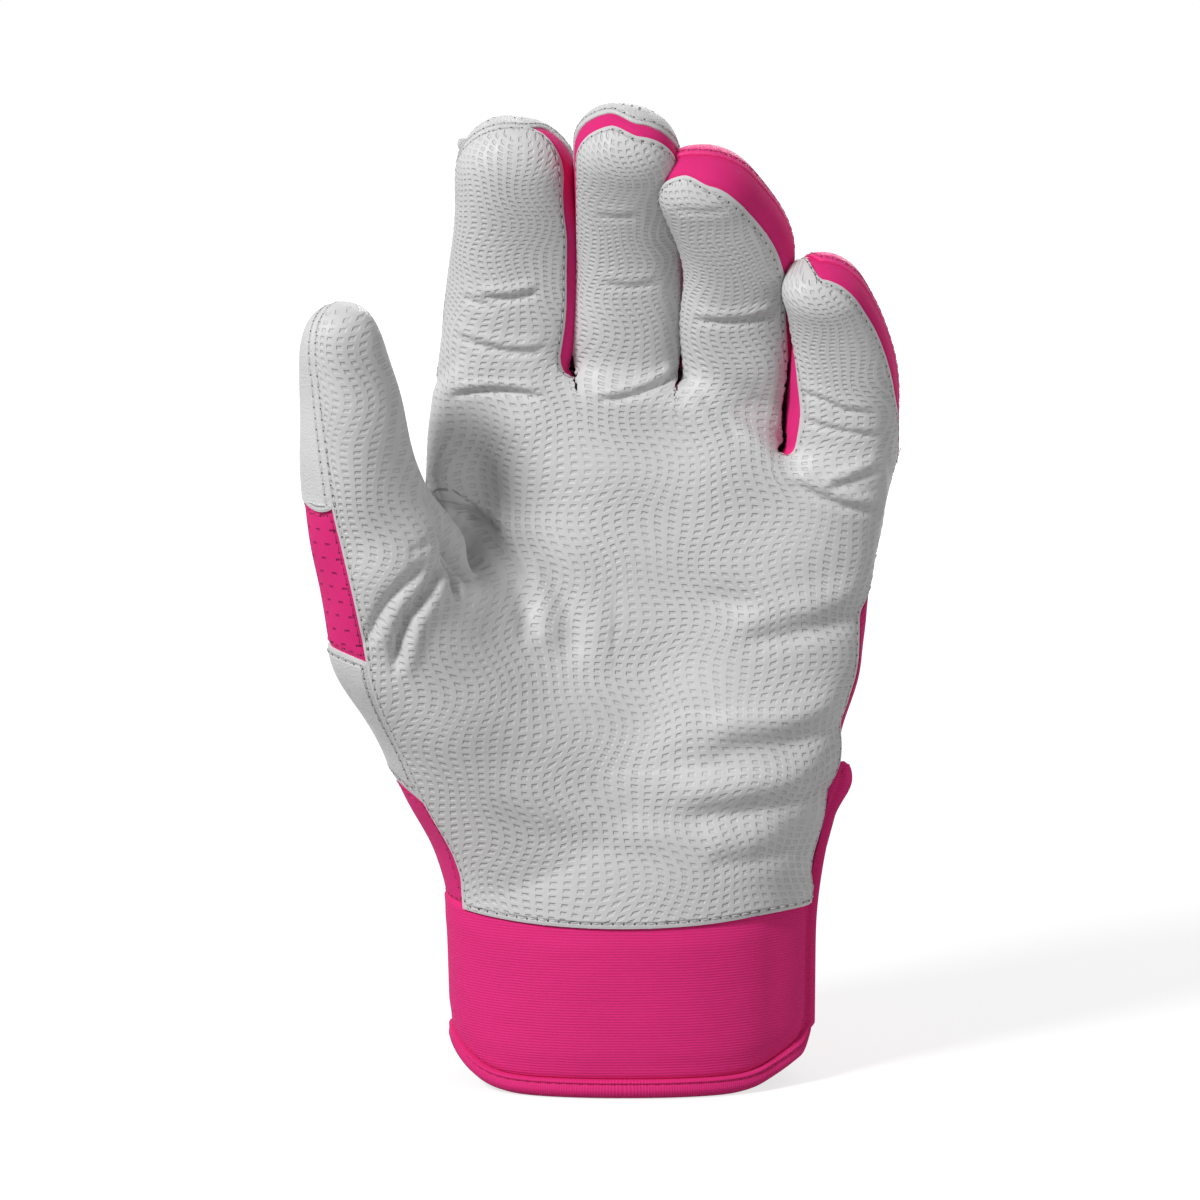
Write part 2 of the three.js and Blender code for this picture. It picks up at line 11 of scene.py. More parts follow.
import bpy
import numpy as np
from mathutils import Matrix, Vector


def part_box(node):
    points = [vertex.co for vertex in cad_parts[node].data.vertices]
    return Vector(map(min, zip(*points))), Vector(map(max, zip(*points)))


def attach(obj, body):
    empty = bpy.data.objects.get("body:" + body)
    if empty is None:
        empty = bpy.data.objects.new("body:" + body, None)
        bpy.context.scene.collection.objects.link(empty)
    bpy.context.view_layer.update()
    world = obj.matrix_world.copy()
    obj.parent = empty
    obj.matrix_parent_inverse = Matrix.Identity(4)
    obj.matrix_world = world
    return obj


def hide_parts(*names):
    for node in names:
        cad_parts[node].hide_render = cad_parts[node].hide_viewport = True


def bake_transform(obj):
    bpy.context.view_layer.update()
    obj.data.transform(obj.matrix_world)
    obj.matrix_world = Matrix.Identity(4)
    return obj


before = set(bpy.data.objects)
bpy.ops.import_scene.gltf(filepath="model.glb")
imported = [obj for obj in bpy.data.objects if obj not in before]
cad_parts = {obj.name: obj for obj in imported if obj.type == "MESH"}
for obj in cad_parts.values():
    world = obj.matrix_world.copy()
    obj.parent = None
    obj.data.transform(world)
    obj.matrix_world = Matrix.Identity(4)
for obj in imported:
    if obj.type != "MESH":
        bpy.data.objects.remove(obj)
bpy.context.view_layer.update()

# The rim's tape reaches this far to the thumb side and to the palm side in the glove's own frame.
RIM_REACH = (38.09, 24.8)
SHIFT = np.array([
    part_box("rim_binding_palm")[0].x * 1000 + RIM_REACH[0],
    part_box("rim_binding_palm")[0].y * 1000 + RIM_REACH[1],
    0.0,
])

LEATHER = 1.2  # leather with its lining
NEOPRENE = 3.0  # wall of the cuff
SQUARENESS = 2.3  # exponent of the rounded sections
CUFF_TOP = 35.0  # where the palm leather meets the cuff
RIM_RISE = 7.2  # the rim lifts by this much at its two sides
RIM_FLAT = 0.45  # share of the half width over which the rim is flat
RIM_CORNER = 3.0  # the rim lifts this much more where its tape turns up into the slit's tape,
CORNER_TURN = (-19, -8)  # over these angles
HEM_RISE = 2.7  # the palm leather's hem and the cuff's top lift by this much at the two sides
BINDING_HEIGHT = 4.2
BINDING_PROUD = 0.8
ARC_PER_DEGREE = 0.63  # millimetres round the wrist

# Angles round the wrist: 0 is the little-finger side, 90 the back, 180 the thumb side, -90 the palm.
CUFF_SIDE_SEAM = 176.0
SLIT_PALM_TAPE = (-15.5, -7.4)
SLIT_BACK_TAPE = (-5.6, 3.0)
SLIT_LEATHER_EDGE = -6.2  # depth at which the palm leather ends beside the slit
SLIT_FLARE = dict(start=-38.0, end=-10.0, reach=2.4)  # the palm side stands out over the strap's root
SLIT_TAPE_TOP = 66.8
SLIT_ROOM = dict(left=25.0, near=-9.6, far=3.2, top=70.0, back_top=67.6, corner=4)
PALM_SEAM = CUFF_SIDE_SEAM - 360  # the cuff's side seam, counted from the palm side
SEAM_OVERLAP = dict(cuff=1.2, tape=2.4)  # angles by which the two halves overlap there
CUFF_HALVES = {  # the angles of each half's neoprene, of its two tapes, and how far its neoprene stands out
    "palm": dict(
        neoprene=(PALM_SEAM - SEAM_OVERLAP["cuff"], SLIT_PALM_TAPE[0] + 2.6),
        rim=(PALM_SEAM - SEAM_OVERLAP["tape"], SLIT_PALM_TAPE[1]),
        slit=SLIT_PALM_TAPE,
        proud=0.1,
    ),
    "back": dict(
        neoprene=(SLIT_BACK_TAPE[1] + 0.3, CUFF_SIDE_SEAM + SEAM_OVERLAP["cuff"]),
        rim=(SLIT_BACK_TAPE[0], CUFF_SIDE_SEAM + SEAM_OVERLAP["tape"]),
        slit=SLIT_BACK_TAPE,
        proud=0,
    ),
}
CUFF_MIDDLE = -2.0  # where the cuff's middle lies across, and half its width
CUFF_HALF = 36.0
CUFF_PUFF = dict(height=0.4, start=1.2, full=6)  # the neoprene swells between its seams
CUFF_TUCK = dict(depth=0.7, below=0.2, above=0.8)  # and is drawn in under the leather's hem
CUFF_ROUND = (0.6, 0.6)  # the lower and upper edges' rounding
CUFF_INTO_RIM = 0.3
CUFF_INTO_HEM = 1.2
HEM_OVER_CUFF = 0.3
HEM_LIFT = dict(height=0.9, fall=(2.0, 7.0))  # the leather lies on the cuff, and falls off above it
SLIT_LIFT = dict(height=2.8, depth=(-19, -7), fall=(62, 76))  # the leather stands out beside the slit

# Relief across the tapes: rolls and ridges with their height, place and half width. On the slit's tapes
# the place and the half width are shares of the tape's width, but for the knob near its top.
RIM_ROLL = dict(height=0.55, at=1.3, half=1.75)
RIM_RIDGE = dict(height=0.42, at=3.55, half=0.38)
RIM_SUNK = 0.5
RIM_ROUND = (1.9, 0.4)
RIM_FLARE = 0.5  # the rim's tape stands out this much more beside the slit
SLIT_ROLL = dict(height=2.0, at=0.72, half=0.34, start=(5, 11))
SLIT_RIDGE = dict(height=0.4, at=0.2, half=0.13)
SLIT_KNOB = dict(height=0.8, at=61, half=3.4, across=(0.4, 0.8))
SLIT_CAP = dict(start=5, height=5.2, sunk=1.5, round=2.4)
SLIT_SUNK = 0.35
SLIT_INTO_RIM = 2
SLIT_ROUND = (0.6, 1.2)
SLIT_FACES = (1 - NEOPRENE, 0.3)  # offsets from the skin

STRAP = dict(start=-8.0, end=139.0, bottom=8.5, root_top=66.0, tip_top=43.0, tip_bottom=6.0, thickness=2.2)
STRAP_LIFT = dict(root=0.45, tip=2.5, start=6.0, end=62.0)
STRAP_TAPER = dict(bottom=0.7, top=0.6)  # its edges draw together over these shares of its length
STRAP_CORNER = dict(start=0.93, radius=9.0, fullness=0.98)
STRAP_ROUND = (0.5, 0.5)
STRAP_TAPE = 1.3
STRAP_TAPE_ROUND = dict(outer=0.6, inner=0.3)
STRAP_TAPE_OVER = (0.2, 0.4)  # the tapes stand this far over the strap's inner and outer face
STRAP_LAP = 0.2  # the strap's neoprene reaches this far into its tapes
GRIP_LIFT = STRAP_LIFT["tip"] + STRAP["thickness"] + 0.3
LOOP_PATCH = dict(span=(78.0, 150.0), bottom=9.0, top=33.0, inner=0.2, outer=1.3, round=0.5)
HOOK_PATCH = dict(span=(92.0, 132.0), bottom=11.0, top=32.0, inner=1.5, outer=2.2, round=0.3)
PULL_TAB = dict(span=(126.0, 136.0), bottom=13.0, top=33.0, inner=GRIP_LIFT, outer=GRIP_LIFT + 1.4, round=0.6)
PILE_INSET = dict(angle=1, height=0.6)  # the pile stops this far inside its patch

SIDE_ACROSS = np.array([0.6, -0.8, 0.0])  # across the panels at the side of the thumb
# How far the panels' faces stand out of the skin, and how high the stitches stand there.
PALM_PROUD = 0.1
BACK_PROUD = 0.05
KNIT_PROUD = -0.45
HEM_PROUD = 0.3
PALM_STITCH_LIFT = 0.09
BACK_STITCH_LIFT = 0.04
KNIT_STITCH_LIFT = -0.42
BAND_INSET = 0.02  # the knit bands stop this far from the panels beside them
ROLLED_IN = dict(depth=0.3, width=1.1)  # how a panel's edge rolls in

STITCH_STEP = 2.2
STITCHES_END = 125.0  # the palm's stitches show up to this height
STITCH_INSIDE = 1.0  # how far the stitches run inside a panel's edge
STITCH_ANGLE = 0.5  # steps of the lines round the wrist, in degrees
SEAM_GROOVE = dict(width=0.5, depth=0.22)  # what the stitches press into the leather
GROOVE_UP = 3.05  # the rim's stitches run this high on its tape
GROOVE_SUNK = 0.42  # and this far under its face
# How far short of the seam, slit, root and tip the rows of stitches on the tapes stop, and how they lie.
RIM_ROW = dict(from_seam=2, from_slit=3)
SLIT_ROW = dict(across=0.36, start=12, from_top=3, step=0.5, lift=0.05)
STRAP_ROW = dict(from_root=3, from_tip=4, inside=1.0, lift=0.05, over=0.02)
STITCH = dict(Length=1.5, Thickness=0.28, Height=0.16, Along=STITCH_STEP / 2)
# Flat dark beads between the stitches: painted shade in the needle holes.
NEEDLE_HOLE_SHADE = dict(Length=0.5, Thickness=0.46, Height=0.1, Along=0.0)
WHITE_SLOTS = {"palm_leather", "smooth_leather", "perforated_leather"}  # these are sewn with white thread
PIT_PITCH = (2.4, 1.52)  # the palm's embossed pits, across and up
PIT_SIZE = (1.3, 0.8)
# The embossing gets finer by this share over these distances along a finger, round this middle.
FINER = 0.4
FINER_SPAN = (5, 32)
FINER_MIDDLE = 18
FINER_SOFTNESS = 8
# Waves of the embossing's columns and rows: how far they wander, their lengths along and across, their phase.
COLUMN_WAVES = [(1.5, 27, 95, 0), (0.7, 17, -61, 1.3)]
ROW_WAVES = [(1.1, 29, 70, 0.7), (0.5, 18, -90, 0)]
# The flat leather: how much of its width lies round each side of the glove past this depth, and where along
# the thumb and a finger the hand's flat leather turns into the digit's own.
WRAP_SHARE = 0.8
WRAP_DEPTH = 3
THUMB_CLOTH = (40, 80)
FINGER_CLOTH = (-10, 8)
HOLE_PITCH = (2.8, 2.1)
HOLE_RADIUS = 0.36
SLOT_PITCH = (4.2, 3.0)
SLOT_SIZE = (1.24, 0.4)

MESH_STEP = 1.2  # cube size of the first mesh, halved once
HAND_BOX = ((-68.0, -46, 24), (62.0, 31, 153))  # the hand's own skin is meshed in this box
SLIVER = 0.03  # points nearer to a cut than this are moved off it, so that no thin triangles arise
FAR_AWAY = 50.0  # distance given to points that a finger can't reach
DIGIT_REACH = 6.0  # points nearer to a digit than this lie on it
MESH_MARGIN = 3  # a digit's mesh starts this far outside its half sizes, and this far below its base
MESH_BELOW = 8
OWN_MARGIN = 20  # points further below a digit's base than this play no part in its border
WALL_KEPT = 5.6  # the hand's wall beside a digit lies further from the digit than its reach less this,
WALL_START = (1.5, 5)  # from this far past the digit's base

# Sections of the hand between the rim and the knuckles: height, left, right, front, back,
# and how far the two edges come forward of the middle.
HAND_ROWS = [
    (0, -37, 33.6, -24, 24, 0),
    (35, -38, 33.8, -23, 23.5, 0),
    (46, -40.6, 35.3, -21.5, 23, 0.5),
    (56, -41.5, 37.4, -20, 22.5, 1.5),
    (67, -42, 42.7, -18, 21.5, 2.5),
    (76, -42.3, 44.6, -16.6, 21, 3.2),
    (85, -42.5, 46.9, -15, 20.5, 4),
    (105, -43.5, 48.8, -13, 19, 5),
    (120, -43, 51.6, -12, 17.5, 5),
    (135, -41.8, 52.6, -11, 16, 5),
    (150, -40, 53, -10, 14, 5),
]
CROTCH_LINE = [(-60, 147), (-10, 145.6), (13, 143.2), (24, 138), (31.6, 128.4), (70, 128.2)]
CROTCH_MELT = 5
ARCH_LIMIT = 1.4  # past this square of the half width, the arch grows no more
GUSSETS = {"index_middle": (-26, -4), "middle_ring": (-3, 17), "ring_little": (19, 41)}  # left and right ends

# Each finger starts on its base plane and curls forward as it rises. Its curves run along it in millimetres.
# sway moves it sideways, and the seams are depths behind its middle line, on its left and on its right.
FINGERS = {
    "index": dict(
        base=(-27.2, 0.5, 146.2), lean=2.6, twist=2, curl=(4, 24), length=54.4, stub=26,
        half_width=[(0, 14.0), (20, 14.4), (33, 13.9), (44, 12.3), (50, 10.7), (54, 9.7)],
        half_depth=[(0, 11), (54, 9.4)],
        sway=[(0, 1.3), (18, 2.8), (32, 3.0), (44, 1.8), (54, 0.8)],
        front_left=[(-10, 1), (40, 1), (50, -1.2)],
        back_left=[(-10, 1), (40, 1), (50, -1.2)],
        front_right=[(-12, -1), (-3, -7.4), (6, -8.3), (38, -8.3), (46, -6.6), (51, -4.4), (54.4, -1.6)],
        back_right=[(-12, -1), (-3, 0.8), (45, 0.8), (54, 2.4)], turn=(0.15, 0.75),
    ),
    "middle": dict(
        base=(-1.8, 3.0, 145.6), lean=-1.2, twist=3, curl=(8, 44), length=61.6, stub=26,
        half_width=[(0, 12.5), (20, 12.2), (40, 11.8), (52, 11.0), (61, 9.9)],
        half_depth=[(0, 10.8), (61, 9.2)],
        sway=[(0, 0.1), (25, 1.1), (40, 0.9), (54, 0.3), (61, -0.7)],
        front_left=[(-8, 0), (-2, -3.6), (46, -3.4), (54, -2.2), (61, -1.0)],
        back_left=[(-8, 0), (-2, 3), (46, 3), (54, 2.8), (61, 2.4)],
        front_right=[(-8, 0), (-2, -3.6), (48, -3.8), (58, -3.9)],
        back_right=[(-8, 0), (-2, 3), (45, 2), (57, -0.8)],
    ),
    "ring": dict(
        base=(20.9, 0.4, 143.6), lean=-2.6, twist=-5, curl=(9, 44), length=55.1, stub=26,
        half_width=[(0, 12.0), (21, 11.7), (28, 12.1), (34, 11.6), (45, 10.2), (55, 9.0)],
        half_depth=[(0, 10.4), (55, 9)],
        sway=[(0, 0.5), (19, 1.3), (28, 2.9), (35, 1.8), (45, -2.1), (50, -3.8), (55, -4.4)],
        front_left=[(-8, 0), (-2, -3.6), (54, -3.2)],
        back_left=[(-8, 0), (-2, 3), (54, 3)],
        front_right=[
            (-14, -1), (-6, -4.6), (20, -5.4), (30, -6.6), (36, -6.2), (42, -6), (50, -6.4), (55, -5),
        ],
        back_right=[(-14, -1), (-6, 3), (54, 3)],
    ),
    "little": dict(
        base=(43, -1.6, 129), lean=-2, twist=-5, curl=(6, 36), length=44.4, stub=14,
        half_width=[(0, 11.9), (10, 12.0), (20, 11.2), (28, 9.9), (38, 8.4), (44, 7.4)],
        half_depth=[(0, 9.6), (44, 8.4)],
        sway=[(0, -0.8), (10, 0.3), (22, 0.6), (30, 0.1), (38, -2.4), (44, -5)],
        front_left=[(-6, -1), (0, -6.0), (12, -7.0), (22, -5), (35, 2), (44, 5)],
        back_left=[(-6, 0), (0, 3), (35, 5), (44, 6.5)],
        front_right=[(2, 0), (9, -3), (14, -4.6), (20, -4.6), (30, -4.4), (39, -4.4), (44, -3)],
        back_right=[(2, 0), (9, 2), (44, 2.5)],
    ),
}
STUB_TAPER = 0.35  # share by which a finger narrows at the bottom of its stub
STUB_ROUND = 8  # the stub's bottom is rounded over this length
DIGIT_MARGIN = 14  # a digit is felt this far outside its middle line and half sizes

# The thumb grows out of the heel of the hand. Each station has its centre and its half width and depth.
THUMB_TWIST = 35
THUMB_STATIONS = [
    ((-21.5, -4, 46), (9, 11)),
    ((-29.3, -8, 62), (12.4, 13)),
    ((-37, -12, 80), (15.8, 15)),
    ((-43.2, -16, 95), (19.2, 14)),
    ((-48.2, -20, 107), (16.7, 13)),
    ((-53.4, -24, 119.5), (12.9, 11.6)),
    ((-55.7, -27.5, 131.5), (11.3, 10.6)),
    ((-57.0, -30.5, 144.5), (9.4, 9.4)),
    ((-58.2, -32.8, 153.4), (8.0, 8)),
]
THUMB_TIP_LENGTH = 12.4
THUMB_BASE = 124.0  # height of the plane where the thumb bends
THUMB_BEND = (-53.6, -24)  # the thumb's middle there
THUMB_SKIN_START = 112  # the thumb's own skin is meshed from this height up
BEND_LENGTH = 15.0  # distance from a digit's base to the second point that bend_of gives
THUMB_SIDE = ((-0.5, -0.86), 30.1)  # the thumb stands clear of the hand in front of this upright plane

# The seam between the palm leather and the back on the thumb side: height, place across, depth there,
# and how steeply it turns back from there to the right, until it meets the seam of the other side.
SEAM_ROWS = [
    (20, -34.4, -12.4, 0.35),
    (45, -36.5, -13.2, 0.35),
    (51, -38.6, -15.2, 0.35),
    (60.5, -43.6, -17.8, 0.45),
    (68.7, -46.7, -20.8, 0.7),
    (75.4, -49.4, -23.5, 1.0),
    (85.5, -52.6, -28.9, 1.6),
    (93, -54.1, -31.2, 2.1),
    (104.6, -56.0, -33.5, 2.1),
    (116, -58.8, -35.1, 2.1),
    (125, -60.7, -36.4, 2.1),
    (142.5, -63.0, -37.6, 2.1),
    (153.6, -64.1, -38.8, 2.1),
    (163.5, -63.4, -38.2, 2.1),
]
SEAM_OTHER_SIDE = [(30, -3), (52, -4), (62, -6), (98, -6.5), (108, -2), (160, -2)]
SEAM_MELT = 3  # the two sides' seams melt into each other
SEAM_TURN = (-14, -2)  # the hand's seams turn into a finger's seams between these distances along it
ACROSS_TURN = (-0.3, 0.3)  # and its left seam into its right one between these shares of the half width
SIDE_LINE = [(30, -32), (62, -41), (86, -50), (104, -53.5), (124, -55.5)]
# Cuts across the side of the thumb: their height at a place across, and their slope to the right.
STRETCH_TOP = dict(height=64.5, at=-49, slope=-0.74)
MESH_BOTTOM = dict(height=92.5, at=-58, slope=-0.33)
MESH_TOP = dict(height=122.4, at=-63, sag=0.12)
KNUCKLE_LINE = [(-90, 117), (-30, 116), (10, 112), (90, 101)]
# The tab in the index finger's seam: how deep it is rooted, how far it leans out and up, and how it curls up.
TAB_ROOT = 2.0
TAB_LEAN = (0.75, 0.65)
TAB_CURL = 0.6


def in_metres(point):
    """A point of the glove's own frame, in metres in the frame that all pieces share."""
    return Vector((point + SHIFT) / 1000)


def smoothstep(x, low, high):
    t = np.clip((x - low) / (high - low), 0, 1)
    return t * t * (3 - 2 * t)


def smooth_min(a, b, reach):
    """The lower of two fields, melted together where they differ by less than reach."""
    share = np.clip(0.5 + 0.5 * (b - a) / reach, 0, 1)
    return b * (1 - share) + a * share - reach * share * (1 - share)


def soft_curve(points, softness):
    """A function through (position, value) points, with its corners rounded off over a length."""
    at, value = (np.array(column, float) for column in zip(*points))
    step = softness / 8
    dense = np.arange(at[0] - 3 * softness, at[-1] + 3 * softness, step)
    kernel = np.exp(-0.5 * (np.arange(-24, 25) / 8) ** 2)
    line = np.interp(dense, at, value)
    padded = np.pad(line, 24, mode="edge")
    smoothed = np.convolve(padded, kernel / kernel.sum(), mode="valid")
    return lambda x: np.interp(x, dense, smoothed)


def rounded_distance(*axes):
    """Distance to a rounded body, from pairs of a unit coordinate and the half size it is measured in."""
    power = SQUARENESS
    total = sum(np.abs(c) ** power for c, _ in axes) + 1e-9
    slope = np.sqrt(sum((np.abs(c) ** (power - 1) / half) ** 2 for c, half in axes)) + 1e-9
    reach = total ** (1 / power)
    return (reach - 1) / (slope * reach ** (1 - power))


hand_edges = [soft_curve([(row[0], row[i]) for row in HAND_ROWS], 4) for i in range(1, 6)]
crotch_height = soft_curve(CROTCH_LINE, 1.5)


def hand_field(p):
    """Distance to the hand without its fingers."""
    x, y, z = p.T
    left, right, front, back, arch = (edge(z) for edge in hand_edges)
    u = (2 * x - left - right) / (right - left)
    v = (2 * (y + arch * np.minimum(u * u, ARCH_LIMIT)) - front - back) / (back - front)
    side = rounded_distance((u, (right - left) / 2), (v, (back - front) / 2))
    top = z - crotch_height(x)
    return -smooth_min(-side, -top, CROTCH_MELT)


class Digit:
    """A finger or the thumb, as a row of stations with a centre, a frame and half sizes."""

    def __init__(self, distance, centre, across, normal, half_width, half_depth, length, tip):
        self.distance, self.centre, self.across, self.normal = distance, centre, across, normal
        self.direction = np.cross(across, normal)
        self.half_width, self.half_depth = half_width, half_depth
        self.length, self.tip = length, tip
        reach = max(half_width.max(), half_depth.max()) + DIGIT_MARGIN
        self.low, self.high = centre.min(0) - reach, centre.max(0) + reach
        self.along = np.einsum("ij,ij->i", centre, self.direction)

    def station(self, s):
        """The first station at a distance along the digit or past it."""
        return int(np.searchsorted(self.distance, s))

    def local(self, p):
        """Distance along the digit, offset across it, depth behind its middle, and its half sizes there."""
        ahead = p @ self.direction.T - self.along
        last = len(self.distance) - 1
        i = np.clip((ahead > 0).sum(1) - 1, 0, last - 1)
        rows = np.arange(len(p))
        before, after = ahead[rows, i], ahead[rows, i + 1]
        share = np.clip(before / np.maximum(before - after, 1e-6), 0, 1)
        over = np.minimum(before, 0) + np.maximum(after, 0)

        def mixed(values):
            w = share if values.ndim == 1 else share[:, None]
            return values[i] * (1 - w) + values[i + 1] * w

        offset = p - mixed(self.centre)
        s = mixed(self.distance) + over
        a = np.einsum("ij,ij->i", offset, mixed(self.across))
        n = np.einsum("ij,ij->i", offset, mixed(self.normal))
        return s, a, n, mixed(self.half_width), mixed(self.half_depth)

    def near(self, p):
        return np.all((p > self.low) & (p < self.high), axis=1)

    def field(self, p):
        """Distance to the digit, the distance along it, and the depth behind its middle as a share."""
        d = np.full(len(p), FAR_AWAY)
        s = np.full(len(p), -FAR_AWAY)
        n = np.zeros(len(p))
        inside = self.near(p)
        if inside.any():
            s_in, a, n_in, width, depth = self.local(p[inside])
            past = np.maximum((s_in - (self.length - self.tip)) / self.tip, 0)
            below = np.maximum((self.distance[0] + STUB_ROUND - s_in) / STUB_ROUND, 0)
            end = np.maximum(past, below)
            d[inside] = rounded_distance((a / width, width), (n_in / depth, depth), (end, self.tip))
            s[inside] = s_in
            n[inside] = n_in / depth
        return d, s, n


def finger_digit(shape):
    """The stations of a finger that curls at a steady rate."""
    lean, twist = math.radians(shape["lean"]), math.radians(shape["twist"])
    up = np.array([math.sin(lean), 0, math.cos(lean)])
    flat = np.array([math.cos(lean), 0, -math.sin(lean)])
    across = flat * math.cos(twist) + np.cross(up, flat) * math.sin(twist)
    back = np.cross(up, across)
    start, end = (math.radians(a) for a in shape["curl"])
    length = shape["length"]
    rate = (end - start) / length
    s = np.arange(-shape["stub"], length + 1, 1.0)
    angle = start + rate * np.maximum(s, 0)
    rise = (np.sin(angle) - math.sin(start)) / rate
    reach = (math.cos(start) - np.cos(angle)) / rate
    direction = np.outer(np.cos(angle), up) - np.outer(np.sin(angle), back)
    normal = np.outer(np.cos(angle), back) + np.outer(np.sin(angle), up)
    centre = np.array(shape["base"]) + np.outer(rise, up) - np.outer(reach, back)
    centre += direction * np.minimum(s, 0)[:, None]
    centre += np.outer(soft_curve(shape["sway"], 3)(s), across)
    sides = np.tile(across, (len(s), 1))
    taper = 1 - STUB_TAPER * np.maximum(-s, 0) / shape["stub"]
    width = soft_curve(shape["half_width"], 3)(s) * taper
    depth = soft_curve(shape["half_depth"], 3)(s) * taper
    tip = shape["half_width"][-1][1]
    return Digit(s, centre, sides, normal, width, depth, length, tip)


def thumb_digit():
    """The stations of the thumb, one each millimetre along its line."""
    centres = np.array([at for at, _ in THUMB_STATIONS], float)
    halves = np.array([half for _, half in THUMB_STATIONS], float)
    tip_step = centres[-1] - centres[-2]
    end = centres[-1] + tip_step / np.linalg.norm(tip_step) * THUMB_TIP_LENGTH
    centres, halves = np.vstack([centres, end]), np.vstack([halves, halves[-1]])
    run = np.concatenate([[0], np.cumsum(np.linalg.norm(np.diff(centres, axis=0), axis=1))])
    s = np.arange(0, run[-1] + 0.5, 1.0)
    centre = np.stack([soft_curve(list(zip(run, column)), 4)(s) for column in centres.T], -1)
    width, depth = (soft_curve(list(zip(run, column)), 4)(s) for column in halves.T)
    direction = np.gradient(centre, axis=0)
    direction /= np.linalg.norm(direction, axis=1)[:, None]
    flat = np.array([math.cos(math.radians(THUMB_TWIST)), math.sin(math.radians(THUMB_TWIST)), 0])
    normal = np.cross(direction, flat)
    normal /= np.linalg.norm(normal, axis=1)[:, None]
    across = np.cross(normal, direction)
    return Digit(s, centre, across, normal, width, depth, run[-1], THUMB_TIP_LENGTH)


digits = {name: finger_digit(shape) for name, shape in FINGERS.items()}
digits["thumb"] = thumb_digit()
DIGIT_NAMES = list(digits)


def past_base(name, p, s):
    """How far a point is past the plane where a digit leaves the hand."""
    if name != "thumb":
        return s
    (nx, ny), reach = THUMB_SIDE
    return np.minimum(p[:, 2] - THUMB_BASE, p[:, 0] * nx + p[:, 1] * ny - reach)


# A digit keeps its surface this far into its neighbour's mesh, so that both meet on their border, and
# is then pushed away at this rate.
PUSH_START = 3.0
PUSH_RATE = 4.0
# Where a digit presses into its neighbour by less than this, its own mesh keeps it, from this far above
# its base.
OWNER_FAVOUR = 4.0
OWNER_START = 6.0
DIGIT_MELT = 2.0  # how widely the digits melt into each other
MELT_BLEND = 3.0  # two digits share their melt into the hand where their distances differ by less than this
# How widely a digit melts into the hand: a finger at its sides, and how much more at its front and back,
# the thumb at its tip, how much more at its heel, and at its foot, with the heights where that changes.
FINGER_MELT = dict(side=1.2, more=5, turn=(0.3, 0.9))
THUMB_MELT = dict(tip=5, more=17, fall=(72, 112), foot=10, rise=(42, 68))


def pushed(past):
    return PUSH_RATE * np.maximum(past - PUSH_START, 0)


def melt_reach(depth_share, on_thumb, height):
    """The digits melt widely into the front and back of the hand, and closely at their sides."""
    finger_melt = FINGER_MELT["side"] + FINGER_MELT["more"] * smoothstep(depth_share, *FINGER_MELT["turn"])
    thumb_melt = THUMB_MELT["tip"] + THUMB_MELT["more"] * (1 - smoothstep(height, *THUMB_MELT["fall"]))
    foot = THUMB_MELT["foot"]
    thumb_melt = foot + (thumb_melt - foot) * smoothstep(height, *THUMB_MELT["rise"])
    return finger_melt + (thumb_melt - finger_melt) * on_thumb


def skin_field(owner):
    """The field of the skin that one digit shows, or the hand where owner is None."""

    def field(p):
        all_of_them = np.full(len(p), FAR_AWAY)
        depth_share = np.zeros(len(p))
        own_past = np.zeros(len(p))
        on_thumb = np.zeros(len(p))
        for name, digit in digits.items():
            d, s, n = digit.field(p)
            past = past_base(name, p, s)
            if name == owner:
                own, own_past, own_n = d, past, n
                continue
            d = d + pushed(past)
            nearer = smoothstep(all_of_them - d, -MELT_BLEND, MELT_BLEND)
            on_thumb += ((name == "thumb") - on_thumb) * nearer
            depth_share += (np.abs(n) - depth_share) * nearer
            all_of_them = smooth_min(all_of_them, d, DIGIT_MELT)
        if owner:
            all_of_them = all_of_them + pushed(own_past)
            nearer = smoothstep(all_of_them - own, -MELT_BLEND, MELT_BLEND)
            on_thumb += ((owner == "thumb") - on_thumb) * nearer
            depth_share += (np.abs(own_n) - depth_share) * nearer
            all_of_them = smooth_min(all_of_them, own, DIGIT_MELT)
        return smooth_min(hand_field(p), all_of_them, melt_reach(depth_share, on_thumb, p[:, 2]))

    return field


def gradient(field, points, reach=0.05):
    steps = np.eye(3) * reach
    return np.stack([field(points + step) - field(points - step) for step in steps], -1) / (2 * reach)


def unit(vectors):
    return vectors / np.maximum(np.linalg.norm(vectors, axis=-1, keepdims=True), 1e-9)


# The photograph's view: its frame is square, and one of its pixels is this long at the glove.
PHOTO_WIDTH = 1200
PIXEL = 0.205
CAMERA_DISTANCE = 1400.0
CAMERA_ELEVATION = 9.0
CAMERA_TARGET = np.array([-6.77, 0.0, 99.3])
SENSOR = 36.0
CAMERA_SEES = 10  # metres

# The studio. Its lengths are in metres.
LIGHTS = {  # place, power and size
    "key_light": ((-0.92, -0.92, 1.1), 24.5, 0.4),
    "side_light": ((1.4, -0.75, 0.35), 3.0, 0.5),
    "back_light": ((0.4, 1.3, 0.9), 9.0, 0.9),
}
LIGHT_TARGET = (0, 0, 0.1)
WORLD_LIGHT = 0.25
FLOOR_REACH = 3.0
FLOOR_GREY = (0.35, 0.35, 0.35, 1)
FLOOR_GLOW = (0.15, 1.1, 0.74, 1.0)  # nearest and furthest distance, and the strengths there

elevation = math.radians(CAMERA_ELEVATION)
view_ahead = np.array([0.0, math.cos(elevation), -math.sin(elevation)])
view_up = np.array([0.0, math.sin(elevation), math.cos(elevation)])
camera_at = CAMERA_TARGET - view_ahead * CAMERA_DISTANCE


